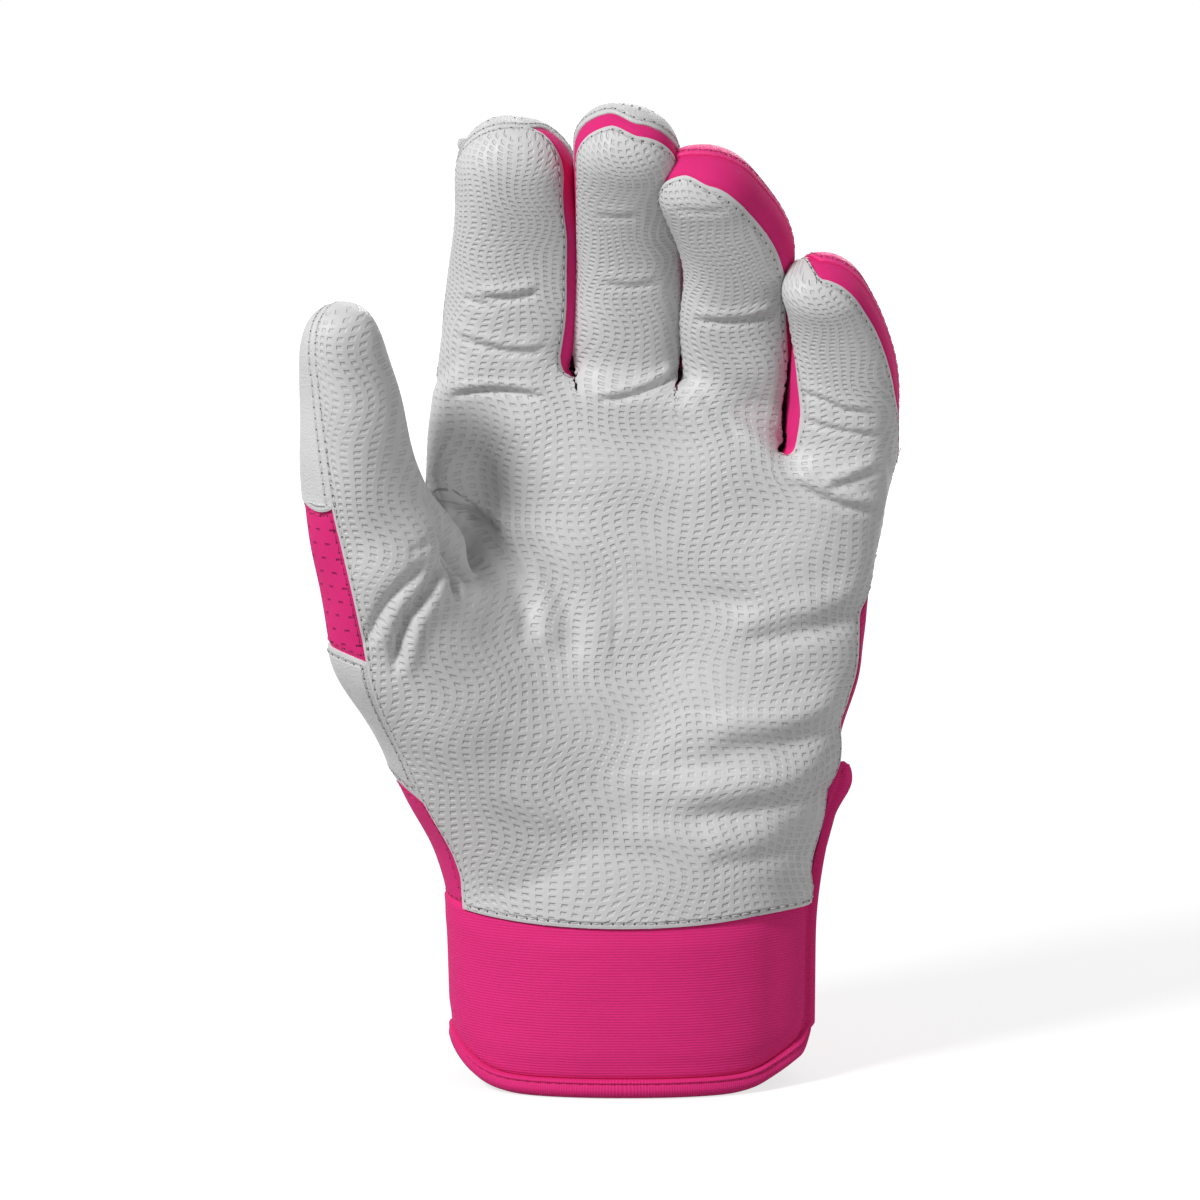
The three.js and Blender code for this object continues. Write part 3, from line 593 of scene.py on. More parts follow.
def in_photo(p):
    """Where points stand in the photograph, in its pixels, from its top left corner."""
    offset = p - camera_at
    depth = offset @ view_ahead / CAMERA_DISTANCE
    right = offset[:, 0] / depth / PIXEL
    up = offset @ view_up / depth / PIXEL
    return np.stack([PHOTO_WIDTH / 2 + right, PHOTO_WIDTH / 2 - up], -1)


# Creases of the leather, as lines in the photograph's pixels: the digit that carries one, its line,
# its depth, its width, and the height of the ridge beside it, on the left of its direction. These lengths
# are in millimetres.
CREASES = [
    ("index", [(476, 298), (510, 299), (542, 293)], 0.8, 0.8, 0.6),
    ("index", [(460, 295), (478, 303), (498, 310)], 0.45, 0.7, 0.2),
    ("index", [(449, 332), (477, 345), (505, 352), (530, 353), (552, 347)], 0.6, 0.8, 0.45),
    ("index", [(438, 401), (462, 395), (490, 393), (516, 394), (548, 400)], 0.9, 0.8, 0.7),
    ("middle", [(594, 216), (616, 219), (640, 215)], 0.25, 0.7, 0.15),
    ("middle", [(596, 284), (630, 288), (662, 282)], 0.3, 0.8, 0.2),
    ("middle", [(592, 400), (618, 399), (643, 392), (664, 382), (686, 364)], 1.0, 0.7, 0.7),
    ("ring", [(690, 318), (720, 323), (750, 323), (784, 315)], 0.7, 0.8, 0.5),
    ("ring", [(668, 210), (700, 214), (730, 212)], 0.25, 0.8, 0.15),
    ("ring", [(697, 392), (708, 404), (724, 421), (744, 442)], 0.7, 0.9, 0.2),
    ("little", [(794, 391), (824, 401), (844, 410), (876, 414)], 0.5, 0.7, 0.3),
    ("little", [(798, 418), (824, 427), (842, 431), (884, 438)], 0.5, 0.7, 0.3),
    (None, [(784, 478), (817, 496), (842, 506), (884, 514)], 0.8, 1.0, 0.9),
    (None, [(822, 492), (850, 482), (884, 466)], 0.6, 0.9, 0.6),
    (None, [(450, 548), (444, 566), (424, 592), (408, 616), (400, 643), (393, 682)], 2.0, 1.3, 0.9),
    (None, [(430, 560), (404, 580), (389, 598), (376, 621), (362, 654)], 1.3, 1.3, 0.5),
    (None, [(436, 531), (424, 546), (404, 553)], 0.4, 0.9, 0.0),
    (None, [(424, 474), (431, 498), (440, 520), (446, 540)], 1.6, 1.0, 0.0),
    (None, [(438, 506), (458, 511), (478, 520), (502, 536)], 1.7, 0.8, 0.7),
    (None, [(440, 512), (458, 524), (474, 540), (490, 564)], 1.9, 0.8, 0.7),
    (None, [(442, 520), (456, 535), (467, 554), (478, 584)], 2.0, 0.8, 0.7),
    (None, [(444, 530), (453, 547), (459, 568), (461, 602)], 1.9, 0.8, 0.7),
    (None, [
        (452, 514), (478, 530), (500, 551), (516, 575), (525, 602), (528, 628), (521, 652),
    ], 1.0, 1.9, 0.9),
    (None, [
        (500, 532), (530, 555), (548, 575), (563, 598), (571, 622), (572, 645), (560, 672),
    ], 0.8, 2.6, 0.6),
    (None, [(730, 644), (790, 636), (822, 628), (848, 617), (880, 600)], 1.0, 2.3, 1.1),
    (None, [(690, 592), (740, 604), (775, 616), (822, 634)], 0.5, 2.4, 0.4),
    (None, [(700, 752), (756, 746), (790, 741), (820, 732), (862, 712)], 0.9, 2.4, 1.0),
    (None, [(670, 822), (735, 814), (770, 807), (800, 797), (850, 770)], 0.9, 2.4, 1.0),
    (None, [(650, 758), (700, 764), (760, 760), (820, 752)], 0.7, 3.0, 0.5),
    (None, [(590, 812), (650, 820), (710, 816), (770, 826)], 0.7, 3.2, 0.5),
    (None, [(700, 866), (750, 862), (800, 846)], 0.6, 2.2, 0.6),
    (None, [(480, 800), (540, 836), (610, 850), (690, 862)], 0.4, 3.0, 0.4),
]
# Broad hollows: their middle and half size in the photograph's pixels, and their depth in millimetres.
DENTS = [
    ((480, 480), (34, 50), 5.6),
    ((530, 500), (64, 70), 2.0),
    ((438, 474), (14, 40), -1.2),
    ((466, 556), (24, 34), 4.6),
    ((392, 572), (34, 30), -1.8),
    ((500, 394), (64, 26), 2.2),
    ((757, 408), (36, 26), 2.4),
    ((640, 640), (90, 110), 1.6),
    ((556, 470), (60, 40), -0.6),
    ((690, 470), (60, 40), -0.6),
]
FACING = (-0.1, 0.4)  # the folds grow in as the skin turns towards the photograph's camera
CREASE_MARGIN = 40  # a crease is felt this many pixels outside its line's own box
CREASE_FADE = 0.22  # share of its length over which a crease fades in and out
RIDGE_AT = 2.1  # how far beside the crease its ridge lies, and how wide it is, in widths of the crease
RIDGE_WIDTH = 1.4

WAVE_SEED = 11
WAVE_COUNT = 14
WAVE_LENGTHS = (11, 42)
WAVE_DEPTH = 0.11
WAVE_START = (CUFF_TOP + 2, CUFF_TOP + 16)  # the swells grow in over these heights


def slow_waves():
    """Directions and phases of the leather's slow swells, the same in each run."""
    draw = np.random.default_rng(WAVE_SEED)
    directions = unit(draw.normal(size=(WAVE_COUNT, 3)))
    lengths = np.linspace(*WAVE_LENGTHS, WAVE_COUNT)
    return directions * (2 * math.pi / lengths)[:, None], draw.uniform(0, 2 * math.pi, WAVE_COUNT)


wave_vectors, wave_phases = slow_waves()


def beside_line(at, line):
    """How far points lie to the left of a line, and how far along it as a share."""
    line = np.array(line, float)
    steps = np.diff(line, axis=0)
    lengths = np.linalg.norm(steps, axis=1)
    run = np.concatenate([[0], np.cumsum(lengths)])
    best = np.full(len(at), 1e9)
    beside, along = np.zeros(len(at)), np.zeros(len(at))
    for start, step, length, before in zip(line, steps, lengths, run):
        offset = at - start
        t = np.clip(offset @ step / length ** 2, 0, 1)
        gap = np.linalg.norm(offset - t[:, None] * step, axis=1)
        side = np.sign(offset[:, 0] * step[1] - offset[:, 1] * step[0])
        closer = gap < best
        best = np.where(closer, gap, best)
        beside = np.where(closer, gap * side, beside)
        along = np.where(closer, (before + t * length) / run[-1], along)
    return beside * PIXEL, along


def fold_height(points, normals, which, distance):
    """How far the folds lift or sink the skin."""
    at = in_photo(points)
    facing = smoothstep(-(normals @ view_ahead), *FACING)
    height = WAVE_DEPTH * np.sin(points @ wave_vectors.T + wave_phases).sum(1)
    height *= smoothstep(points[:, 2], *WAVE_START)
    for digit, line, depth, width, rise in CREASES:
        low, high = np.min(line, axis=0) - CREASE_MARGIN, np.max(line, axis=0) + CREASE_MARGIN
        near = np.all((at > low) & (at < high), axis=1) & (facing > 0)
        if digit:
            near &= (which == DIGIT_NAMES.index(digit)) & (distance < DIGIT_REACH)
        if not near.any():
            continue
        beside, along = beside_line(at[near], line)
        fade = smoothstep(along, 0, CREASE_FADE) * smoothstep(1 - along, 0, CREASE_FADE) * facing[near]
        valley = -depth * np.exp(-(beside / width) ** 2)
        hump = rise * np.exp(-((beside - RIDGE_AT * width) / (RIDGE_WIDTH * width)) ** 2)
        height[near] += (valley + hump) * fade
    for middle, half, depth in DENTS:
        u = (at - np.array(middle)) / np.array(half)
        height -= depth * np.exp(-(u ** 2).sum(1)) * facing
    return height


def surface_net(field, low, high, step):
    """Points and triangles where a field changes sign, on a lattice of cubes."""
    axes = [np.arange(a, b, step) for a, b in zip(low, high)]
    lattice = np.stack(np.meshgrid(*axes, indexing="ij"), -1)
    values = field(lattice.reshape(-1, 3)).reshape(lattice.shape[:3])
    cells = tuple(n - 1 for n in values.shape)
    total = np.zeros((*cells, 3))
    count = np.zeros(cells)
    for axis in range(3):
        along = np.eye(3)[axis]
        for others in itertools.product((0, 1), repeat=2):
            start = list(others)
            start.insert(axis, 0)
            end = [o + int(e) for o, e in zip(start, along)]
            a = values[tuple(slice(o, o + n) for o, n in zip(start, cells))]
            b = values[tuple(slice(o, o + n) for o, n in zip(end, cells))]
            crossing = (a < 0) != (b < 0)
            share = np.where(crossing, a / np.where(crossing, a - b, 1), 0)
            total += crossing[..., None] * (np.array(start) + share[..., None] * along)
            count += crossing
    used = count > 0
    index = np.full(cells, -1)
    index[used] = np.arange(used.sum())
    points = (np.argwhere(used) + total[used] / count[used][:, None]) * step + np.array([a[0] for a in axes])
    quads = []
    for axis in range(3):
        order = [axis, (axis + 1) % 3, (axis + 2) % 3]
        v, i = values.transpose(order), index.transpose(order)
        a, b = v[:-1, 1:-1, 1:-1], v[1:, 1:-1, 1:-1]
        ring = np.stack([i[:, :-1, :-1], i[:, 1:, :-1], i[:, 1:, 1:], i[:, :-1, 1:]], -1)
        quads.append(ring[(a < 0) & (b >= 0)])
        quads.append(ring[(a >= 0) & (b < 0)][:, ::-1])
    quads = np.concatenate(quads)
    quads = quads[(quads >= 0).all(1)]
    first = np.linalg.norm(points[quads[:, 0]] - points[quads[:, 2]], axis=1)
    second = np.linalg.norm(points[quads[:, 1]] - points[quads[:, 3]], axis=1)
    quads = np.where((first <= second)[:, None], quads, np.roll(quads, 1, axis=1))
    return points, np.concatenate([quads[:, [0, 1, 2]], quads[:, [0, 2, 3]]])


def edges_of(faces):
    """The distinct edges of some triangles, and each triangle corner's edge to the next corner."""
    pairs = np.sort(faces[:, [0, 1, 1, 2, 2, 0]].reshape(-1, 2), axis=1)
    edges, which = np.unique(pairs, axis=0, return_inverse=True)
    return edges, which.reshape(-1, 3)


def relaxed(points, faces, normals, rounds=3):
    """Points evened out along the surface."""
    edges, _ = edges_of(faces)
    count = np.bincount(edges.ravel(), minlength=len(points))
    for _ in range(rounds):
        mean = np.zeros_like(points)
        for column in range(3):
            mean[:, column] += np.bincount(edges[:, 0], points[edges[:, 1], column], len(points))
            mean[:, column] += np.bincount(edges[:, 1], points[edges[:, 0], column], len(points))
        move = mean / np.maximum(count, 1)[:, None] - points
        move -= normals * np.einsum("ij,ij->i", move, normals)[:, None]
        points = points + 0.5 * move
    return points


def halved(points, faces):
    """Each triangle as four."""
    edges, which = edges_of(faces)
    middle = which + len(points)
    points = np.concatenate([points, points[edges].mean(1)])
    corners = [
        (faces[:, 0], middle[:, 0], middle[:, 2]),
        (middle[:, 0], faces[:, 1], middle[:, 1]),
        (middle[:, 2], middle[:, 1], faces[:, 2]),
        (middle[:, 0], middle[:, 1], middle[:, 2]),
    ]
    return points, np.concatenate([np.stack(c, -1) for c in corners])


def settled(field, points):
    """Points moved onto the surface, and its normals there."""
    slope = gradient(field, points)
    size = np.maximum(np.einsum("ij,ij->i", slope, slope), 0.05)
    points = points - slope * np.clip(field(points) / size, -1, 1)[:, None]
    return points, unit(slope)


def face_normals(points, faces):
    a, b, c = (points[faces[:, i]] for i in range(3))
    return np.cross(b - a, c - a)


def point_normals(points, faces):
    flat = face_normals(points, faces)
    total = np.zeros_like(points)
    for corner in range(3):
        for column in range(3):
            total[:, column] += np.bincount(faces[:, corner], flat[:, column], len(points))
    return unit(total)


def boundary_of(faces, count):
    """The directed edges that only one triangle has."""
    a, b = faces[:, [0, 1, 2]].ravel(), faces[:, [1, 2, 0]].ravel()
    return np.stack([a, b], -1)[~np.isin(a * count + b, b * count + a)]


class Skin:
    """Triangles with values on their points, such as their place and normal."""

    def __init__(self, faces, values):
        used = np.unique(faces)
        renumbered = np.full(faces.max() + 1 if len(faces) else 1, -1)
        renumbered[used] = np.arange(len(used))
        self.faces = renumbered[faces]
        self.values = {name: value[used] for name, value in values.items()}

    def __getitem__(self, name):
        return self.values[name]

    def above(self, level, seam=True, kept_level=None):
        """The part where level is above zero, cut along its zero line. A seam is remembered in edge."""
        level = np.where(np.abs(level) < SLIVER, SLIVER, level)
        values = dict(self.values)
        if seam:
            values["edge"] = np.minimum(values["edge"], level)
        if kept_level:
            values[kept_level] = level
        kept = level > 0
        count = kept[self.faces].sum(1)
        parts = [self.faces[count == 3]]
        one, two = self.faces[count == 1], self.faces[count == 2]
        one = np.take_along_axis(one, (kept[one].argmax(1)[:, None] + np.arange(3)) % 3, 1)
        two = np.take_along_axis(two, ((~kept[two]).argmax(1)[:, None] + np.arange(3)) % 3, 1)
        crossed = np.concatenate([one[:, [0, 1]], one[:, [0, 2]], two[:, [0, 1]], two[:, [0, 2]]])
        edges, which = np.unique(np.sort(crossed, axis=1), axis=0, return_inverse=True)
        which = which.ravel() + len(level)
        share = level[edges[:, 0]] / (level[edges[:, 0]] - level[edges[:, 1]])
        for name, value in values.items():
            w = share if value.ndim == 1 else share[:, None]
            values[name] = np.concatenate([value, value[edges[:, 0]] * (1 - w) + value[edges[:, 1]] * w])
        n, m = len(one), len(two)
        one_b, one_c = which[:n], which[n:2 * n]
        two_b, two_c = which[2 * n:2 * n + m], which[2 * n + m:]
        parts.append(np.stack([one[:, 0], one_b, one_c], -1))
        parts.append(np.stack([two_b, two[:, 1], two[:, 2]], -1))
        parts.append(np.stack([two_b, two[:, 2], two_c], -1))
        return Skin(np.concatenate(parts), values)

    def cut(self, level_of):
        """The part where a level that is worked out from the points' places at rest is above zero."""
        return self.above(level_of(self["rest"]))

    def split(self, level_of):
        """The parts where such a level is above and below zero."""
        level = level_of(self["rest"])
        return self.above(level), self.above(-level)

    def only(self, chosen):
        """The triangles whose three points are all chosen."""
        return Skin(self.faces[chosen[self.faces].all(1)], self.values)

    def line(self, distance):
        """Points' values and pairs of points along the line that runs a distance inside the seams."""
        part = self.above(self["edge"] - distance, seam=False, kept_level="level")
        edges = boundary_of(part.faces, len(part["place"]))
        edges = edges[(np.abs(part["level"][edges]) < SLIVER + 0.001).all(1)]
        used, pairs = np.unique(edges, return_inverse=True)
        return part["place"][used], part["normal"][used], pairs.reshape(-1, 2)


seam_across, seam_depth, seam_slope = (
    soft_curve([(row[0], row[i]) for row in SEAM_ROWS], 3) for i in (1, 2, 3)
)
seam_other_side = soft_curve(SEAM_OTHER_SIDE, 3)
side_line = soft_curve(SIDE_LINE, 3)
knuckle_height = soft_curve(KNUCKLE_LINE, 6)


def hand_seam(p):
    """Distance behind the seam between the palm leather and the back."""
    x, y, z = p.T
    slope = seam_slope(z)
    thumb_side = seam_depth(z) + slope * (x - seam_across(z))
    other_side = seam_other_side(z)
    depth = smooth_min(thumb_side, other_side, SEAM_MELT)
    turned = slope * (1 - smoothstep(thumb_side - other_side, -2, 2))
    return (y - depth) / np.sqrt(1 + turned ** 2)


def slanted(cut, p):
    """How high points lie over a slanted cut."""
    return (p[:, 2] - cut["height"] - cut["slope"] * (p[:, 0] - cut["at"])) / math.hypot(1, cut["slope"])


seam_curves = {
    name: {key: soft_curve(shape[key], 2) for key in ("front_left", "front_right", "back_left", "back_right")}
    for name, shape in FINGERS.items()
}


def finger_seams(name, s, a, n, width):
    """Depth behind the seam of the palm leather, and behind the seam of the back, on one finger."""
    right = smoothstep(a / width, *FINGERS[name].get("turn", ACROSS_TURN))
    curves = seam_curves[name]
    return [
        n - curves[side + "_left"](s) * (1 - right) - curves[side + "_right"](s) * right
        for side in ("front", "back")
    ]


def nearest_digits(p, owner=None):
    """For each point: which digit is nearest, how far it is, and where the point lies on it.

    A digit keeps its own skin whole above its base, also where it presses into its neighbour.
    """
    best = np.full(len(p), FAR_AWAY)
    rank = np.full(len(p), FAR_AWAY)
    which = np.zeros(len(p), int)
    local = np.tile([-FAR_AWAY, 0.0, 0.0, 1.0, 1.0], (len(p), 1))
    past = np.full(len(p), -FAR_AWAY)
    for i, (name, digit) in enumerate(digits.items()):
        d, s, _ = digit.field(p)
        favoured = d - OWNER_FAVOUR * ((name == owner) & (s > OWNER_START))
        closer = favoured < rank
        rank = np.where(closer, favoured, rank)
        best = np.where(closer, d, best)
        which = np.where(closer, i, which)
        if closer.any():
            local[closer] = np.stack(digit.local(p[closer]), -1)
        past = np.where(closer, past_base(name, p, s), past)
    return which, best, local, past


def seams_of(p, which, distance, local):
    """Depth behind the palm leather's seam and behind the back's seam, over the whole glove."""
    front = hand_seam(p)
    back = front.copy()
    for i, name in enumerate(FINGERS):
        own = (which == i) & (distance < DIGIT_REACH)
        if not own.any():
            continue
        s, a, n, width, _ = local[own].T
        weight = smoothstep(s, *SEAM_TURN)
        levels = finger_seams(name, s, a, n, width)
        front[own] = front[own] * (1 - weight) + levels[0] * weight
        back[own] = back[own] * (1 - weight) + levels[1] * weight
    return front, back


def wrapped_round(away, offset, half):
    """How much further out a point lies on the flat leather, from its depth behind the glove's face."""
    return WRAP_SHARE * np.maximum(away - WRAP_DEPTH, 0) * offset / half


def cloth_of(p, which, distance, local, behind=False):
    """Where each point lies on the flat leather of the palm side, or of the back, in millimetres."""
    left, right, front, back, _ = (edge(p[:, 2]) for edge in hand_edges)
    middle, half = (left + right) / 2, (right - left) / 2
    away = back - p[:, 1] if behind else p[:, 1] - front
    flat = np.stack([p[:, 0] + wrapped_round(away, p[:, 0] - middle, half), p[:, 2]], -1)
    for i, (name, digit) in enumerate(digits.items()):
        own = (which == i) & (distance < DIGIT_REACH)
        if not own.any():
            continue
        s, a, n, width, depth = local[own].T
        base = digit.centre[digit.station(0)]
        wrap = wrapped_round(depth - n if behind else depth + n, a, width)
        if name == "thumb":
            on_digit = np.stack([p[own][:, 0] + wrap, p[own][:, 2]], -1)
            weight = smoothstep(s, *THUMB_CLOTH)
        else:
            finer = FINER * smoothstep(s, *FINER_SPAN)
            climb = FINER * (np.hypot(s - FINER_MIDDLE, FINER_SOFTNESS) + s - FINER_MIDDLE) / 2
            on_digit = np.stack([base[0] + (a + wrap) * (1 + finer), base[2] + s + climb], -1)
            weight = smoothstep(s, *FINGER_CLOTH)
        flat[own] = flat[own] * (1 - weight[:, None]) + on_digit * weight[:, None]
    return flat


def wander(along, across, waves):
    """How far columns or rows wander."""
    return sum(
        far * np.sin(2 * math.pi * (along / length + across / width) + phase)
        for far, length, width, phase in waves
    )


def meandering(cloth):
    """Cloth coordinates whose columns and rows wander, as the embossed leather's do."""
    u, v = cloth.T
    return np.stack([u + wander(v, u, COLUMN_WAVES), v + wander(u, v, ROW_WAVES)], -1)


def skin_of(owner):
    """The folded skin of one digit, or of the hand where owner is None."""
    field = skin_field(owner)
    if owner:
        digit = digits[owner]
        margin = max(digit.half_width.max(), digit.half_depth.max()) + MESH_MARGIN
        above = digit.centre[:, 2] > THUMB_SKIN_START if owner == "thumb" else digit.distance >= 0
        start = digit.centre[above]
        low, high = start.min(0) - margin, start.max(0) + margin
        low[2] = start[:, 2].min() - MESH_BELOW
    else:
        low, high = np.array(HAND_BOX)
    low = np.floor(low / MESH_STEP) * MESH_STEP
    points, faces = surface_net(field, low, high, MESH_STEP)
    points, normals = settled(field, points)
    points = relaxed(points, faces, normals)
    points, faces = halved(points, faces)
    points, _ = settled(field, points)
    points, normals = settled(field, points)
    which, distance, local, past = nearest_digits(points, owner)
    place = points + normals * fold_height(points, normals, which, distance)[:, None]
    front, back = seams_of(points, which, distance, local)
    values = {
        "place": place,
        "normal": point_normals(place, faces),
        "rest": points,
        "front": front,
        "back": back,
        "cloth": cloth_of(points, which, distance, local),
        "back_cloth": cloth_of(points, which, distance, local, behind=True),
        "side_cloth": np.stack([points @ SIDE_ACROSS, points[:, 2]], -1),
        "local": local,
        "edge": np.full(len(points), FAR_AWAY),
    }
    if owner is None:
        # Further up, only what lies close on a digit goes: the wall beside a digit stays with the hand.
        limit = DIGIT_REACH - WALL_KEPT * smoothstep(past, *WALL_START)
        return Skin(faces, values).above(np.maximum(-past, distance - limit), seam=False)
    own = (distance < DIGIT_REACH) & (which == DIGIT_NAMES.index(owner))
    values["own"] = np.where(own, past, -FAR_AWAY)
    skin = Skin(faces, values)
    skin = skin.only(skin["own"] > -OWN_MARGIN)
    return skin.above(skin["own"], seam=False)


def make_mesh(name, points, triangles, quads, cloth, corner_normals=None):
    """A mesh in metres in the shared frame, from points in millimetres in the glove's own frame."""
    mesh = bpy.data.meshes.new(name)
    mesh.vertices.add(len(points))
    mesh.vertices.foreach_set("co", ((points + SHIFT) / 1000).astype(np.float32).ravel())
    corners = np.concatenate([triangles.ravel(), quads.ravel()])
    mesh.loops.add(len(corners))
    mesh.loops.foreach_set("vertex_index", corners.astype(np.int32))
    starts = np.concatenate([
        np.arange(len(triangles)) * 3,
        len(triangles) * 3 + np.arange(len(quads)) * 4,
    ])
    mesh.polygons.add(len(starts))
    mesh.polygons.foreach_set("loop_start", starts.astype(np.int32))
    mesh.update(calc_edges=True)
    mesh.polygons.foreach_set("use_smooth", np.ones(len(starts), bool))
    layer = mesh.attributes.new("cloth", "FLOAT_VECTOR", "POINT")
    layer.data.foreach_set("vector", cloth.astype(np.float32).ravel())
    if corner_normals is not None:
        mesh.normals_split_custom_set(corner_normals.astype(np.float32))
    mesh.validate()
    return mesh


def placed(name, data):
    """A new object in the scene."""
    piece = bpy.data.objects.new(name, data)
    bpy.context.scene.collection.objects.link(piece)
    return piece


def make_object(name, mesh, material):
    mesh.materials.append(material)
    return placed(name, mesh)


def shell(name, skin, material, proud=KNIT_PROUD, pattern=None, cloth="cloth"):
    """A panel with its thickness, whose edge rolls in at its seams."""
    place, normal, faces, edge = skin["place"], skin["normal"], skin.faces, np.maximum(skin["edge"], 0)
    count = len(place)
    lift = proud - ROLLED_IN["depth"] * (1 - smoothstep(edge, 0, ROLLED_IN["width"]))
    outer = place + normal * lift[:, None]
    inner = place + normal * (proud - LEATHER)
    top = unit(normal + point_normals(outer, faces) - point_normals(place, faces))
    rim = boundary_of(faces, count)
    sides = np.stack([rim[:, 1], rim[:, 0], rim[:, 0] + count, rim[:, 1] + count], -1)
    along = place[rim[:, 1]] - place[rim[:, 0]]
    outward = unit(np.cross(along, normal[rim[:, 0]] + normal[rim[:, 1]]))
    side_normals = np.stack([
        unit(outward + top[rim[:, 1]]),
        unit(outward + top[rim[:, 0]]),
        unit(outward - normal[rim[:, 0]]),
        unit(outward - normal[rim[:, 1]]),
    ], 1)
    triangles = np.concatenate([faces, faces[:, ::-1] + count])
    corner_normals = np.concatenate([
        top[faces].reshape(-1, 3),
        -normal[faces[:, ::-1]].reshape(-1, 3),
        side_normals.reshape(-1, 3),
    ])
    flat = skin[cloth]
    flat = pattern(flat) if pattern else flat
    flat = np.concatenate([flat, edge[:, None]], 1)
    mesh = make_mesh(
        name, np.concatenate([outer, inner]), triangles, sides, np.concatenate([flat, flat]), corner_normals)
    return make_object(name, mesh, material)


def wrapped(angle, z, offset):
    """Points of the cuff's section at angles round the wrist, heights and offsets from the skin."""
    left, right, front, back, arch = (edge(z) for edge in hand_edges)
    left, right, front, back = left - offset, right + offset, front - offset, back + offset
    power = 2 / SQUARENESS
    c, s = np.cos(np.radians(angle)), np.sin(np.radians(angle))
    c, s = np.sign(c) * np.abs(c) ** power, np.sign(s) * np.abs(s) ** power
    x = (left + right) / 2 + c * (right - left) / 2
    y = (front + back) / 2 + s * (back - front) / 2 - arch * c * c
    return np.stack([x, y, z + 0 * x], -1)


def on_palm_side(angle):
    """Whether an angle lies on the palm's side of the slit."""
    return angle < SLIT_PALM_TAPE[1] + 0.1


def rim_height(angle):
    """Height of the rim: flat at the front and back, lifted at the two sides."""
    reach = np.abs(np.cos(np.radians(angle))) ** (2 / SQUARENESS)
    rise = RIM_RISE * np.maximum((reach - RIM_FLAT) / (1 - RIM_FLAT), 0) ** 4
    return rise + RIM_CORNER * smoothstep(angle, *CORNER_TURN) * on_palm_side(angle)


def hem_line(share):
    """Height of the palm leather's hem at a share of the cuff's half width."""
    return CUFF_TOP + HEM_OVER_CUFF + HEM_RISE * share ** 2


def hem_height(angle):
    return hem_line(np.cos(np.radians(angle)))


def flare(angle):
    """How far the palm side stands out beside the slit."""
    grown = smoothstep(angle, SLIT_FLARE["start"], SLIT_FLARE["end"])
    return SLIT_FLARE["reach"] * grown * on_palm_side(angle)


def tape_top(angle):
    return rim_height(angle) + BINDING_HEIGHT


def steady(value):
    return lambda angle: value + 0 * angle


def sheet_round_wrist(name, material, span, low, high, inner, outer, rounding, relief=None,
                      step=0.6, rows=24, upright=False):
    """A closed sheet round the wrist, between two angles, two heights and two offsets, with soft edges."""
    start, end = span
    count = max(int((end - start) * ARC_PER_DEGREE / step), 4)
    angles = np.linspace(start, end, count + 1)
    half = (outer(angles) - inner(angles)).mean() / 2
    swell = np.linspace(0.15, 1, 6) * math.pi / 2
    reach = half / ARC_PER_DEGREE
    opening = start + reach * (1 - np.cos(swell))
    shrink = half * (1 - np.sin(swell))
    angles = angles[(angles > start + reach * 1.1) & (angles < end - reach * 1.1)]
    inset = np.concatenate([shrink, np.zeros(len(angles)), shrink[::-1]])
    angles = np.concatenate([opening, angles, start + end - opening[::-1]])
    bottom, top = low(angles) + inset, high(angles) - inset
    near, far = inner(angles) + inset, outer(angles) - inset
    middle, thick = (near + far) / 2, (far - near) / 2
    share = np.linspace(0, 1, rows + 1)
    turn = np.linspace(0, math.pi, 8)[1:-1]
    across = [(bottom + rounding[0])[:, None] + np.outer(top - bottom - sum(rounding), share)]
    offset = [np.tile(far[:, None], (1, rows + 1))]
    across.append((top - rounding[1])[:, None] + rounding[1] * np.sin(turn))
    offset.append(middle[:, None] + np.outer(thick, np.cos(turn)))
    across.append(across[0][:, ::-1])
    offset.append(np.tile(near[:, None], (1, rows + 1)))
    across.append((bottom + rounding[0])[:, None] - rounding[0] * np.sin(turn))
    offset.append(middle[:, None] - np.outer(thick, np.cos(turn)))
    across, offset = np.concatenate(across, 1), np.concatenate(offset, 1)
    around = np.tile(angles[:, None], (1, across.shape[1]))
    edge = np.minimum(across - low(angles)[:, None], high(angles)[:, None] - across)
    if relief:
        outside = smoothstep(offset, middle[:, None], far[:, None])
        offset = offset + outside * relief(around, across, edge)
    points = wrapped(around.ravel(), across.ravel(), offset.ravel())
    cloth = np.stack([around.ravel() * ARC_PER_DEGREE, across.ravel(), edge.ravel()], -1)
    if upright:
        cloth = cloth[:, [1, 0, 2]]
    return lofted(name, material, points.reshape(*across.shape, 3), cloth.reshape(*across.shape, 3))


def lofted(name, material, sections, cloth):
    """A closed body through rings of points."""
    rings, count, _ = sections.shape
    index = np.arange(rings * count).reshape(rings, count)
    ahead = np.roll(index, -1, axis=1)
    quads = np.stack([index[:-1], ahead[:-1], ahead[1:], index[1:]], -1).reshape(-1, 4)
    points = np.concatenate([sections.reshape(-1, 3), sections[0].mean(0)[None], sections[-1].mean(0)[None]])
    cloth = np.concatenate([cloth.reshape(-1, 3), cloth[0].mean(0)[None], cloth[-1].mean(0)[None]])
    first = np.full(count, rings * count)
    caps = np.concatenate([
        np.stack([first, ahead[0], index[0]], -1),
        np.stack([first + 1, index[-1], ahead[-1]], -1),
    ])
    corners = points[quads]
    volume = np.einsum("ij,ij->i", corners[:, 0], np.cross(corners[:, 1], corners[:, 2])).sum()
    if volume < 0:
        quads, caps = quads[:, ::-1], caps[:, ::-1]
    return make_object(name, make_mesh(name, points, caps, quads, cloth), material)


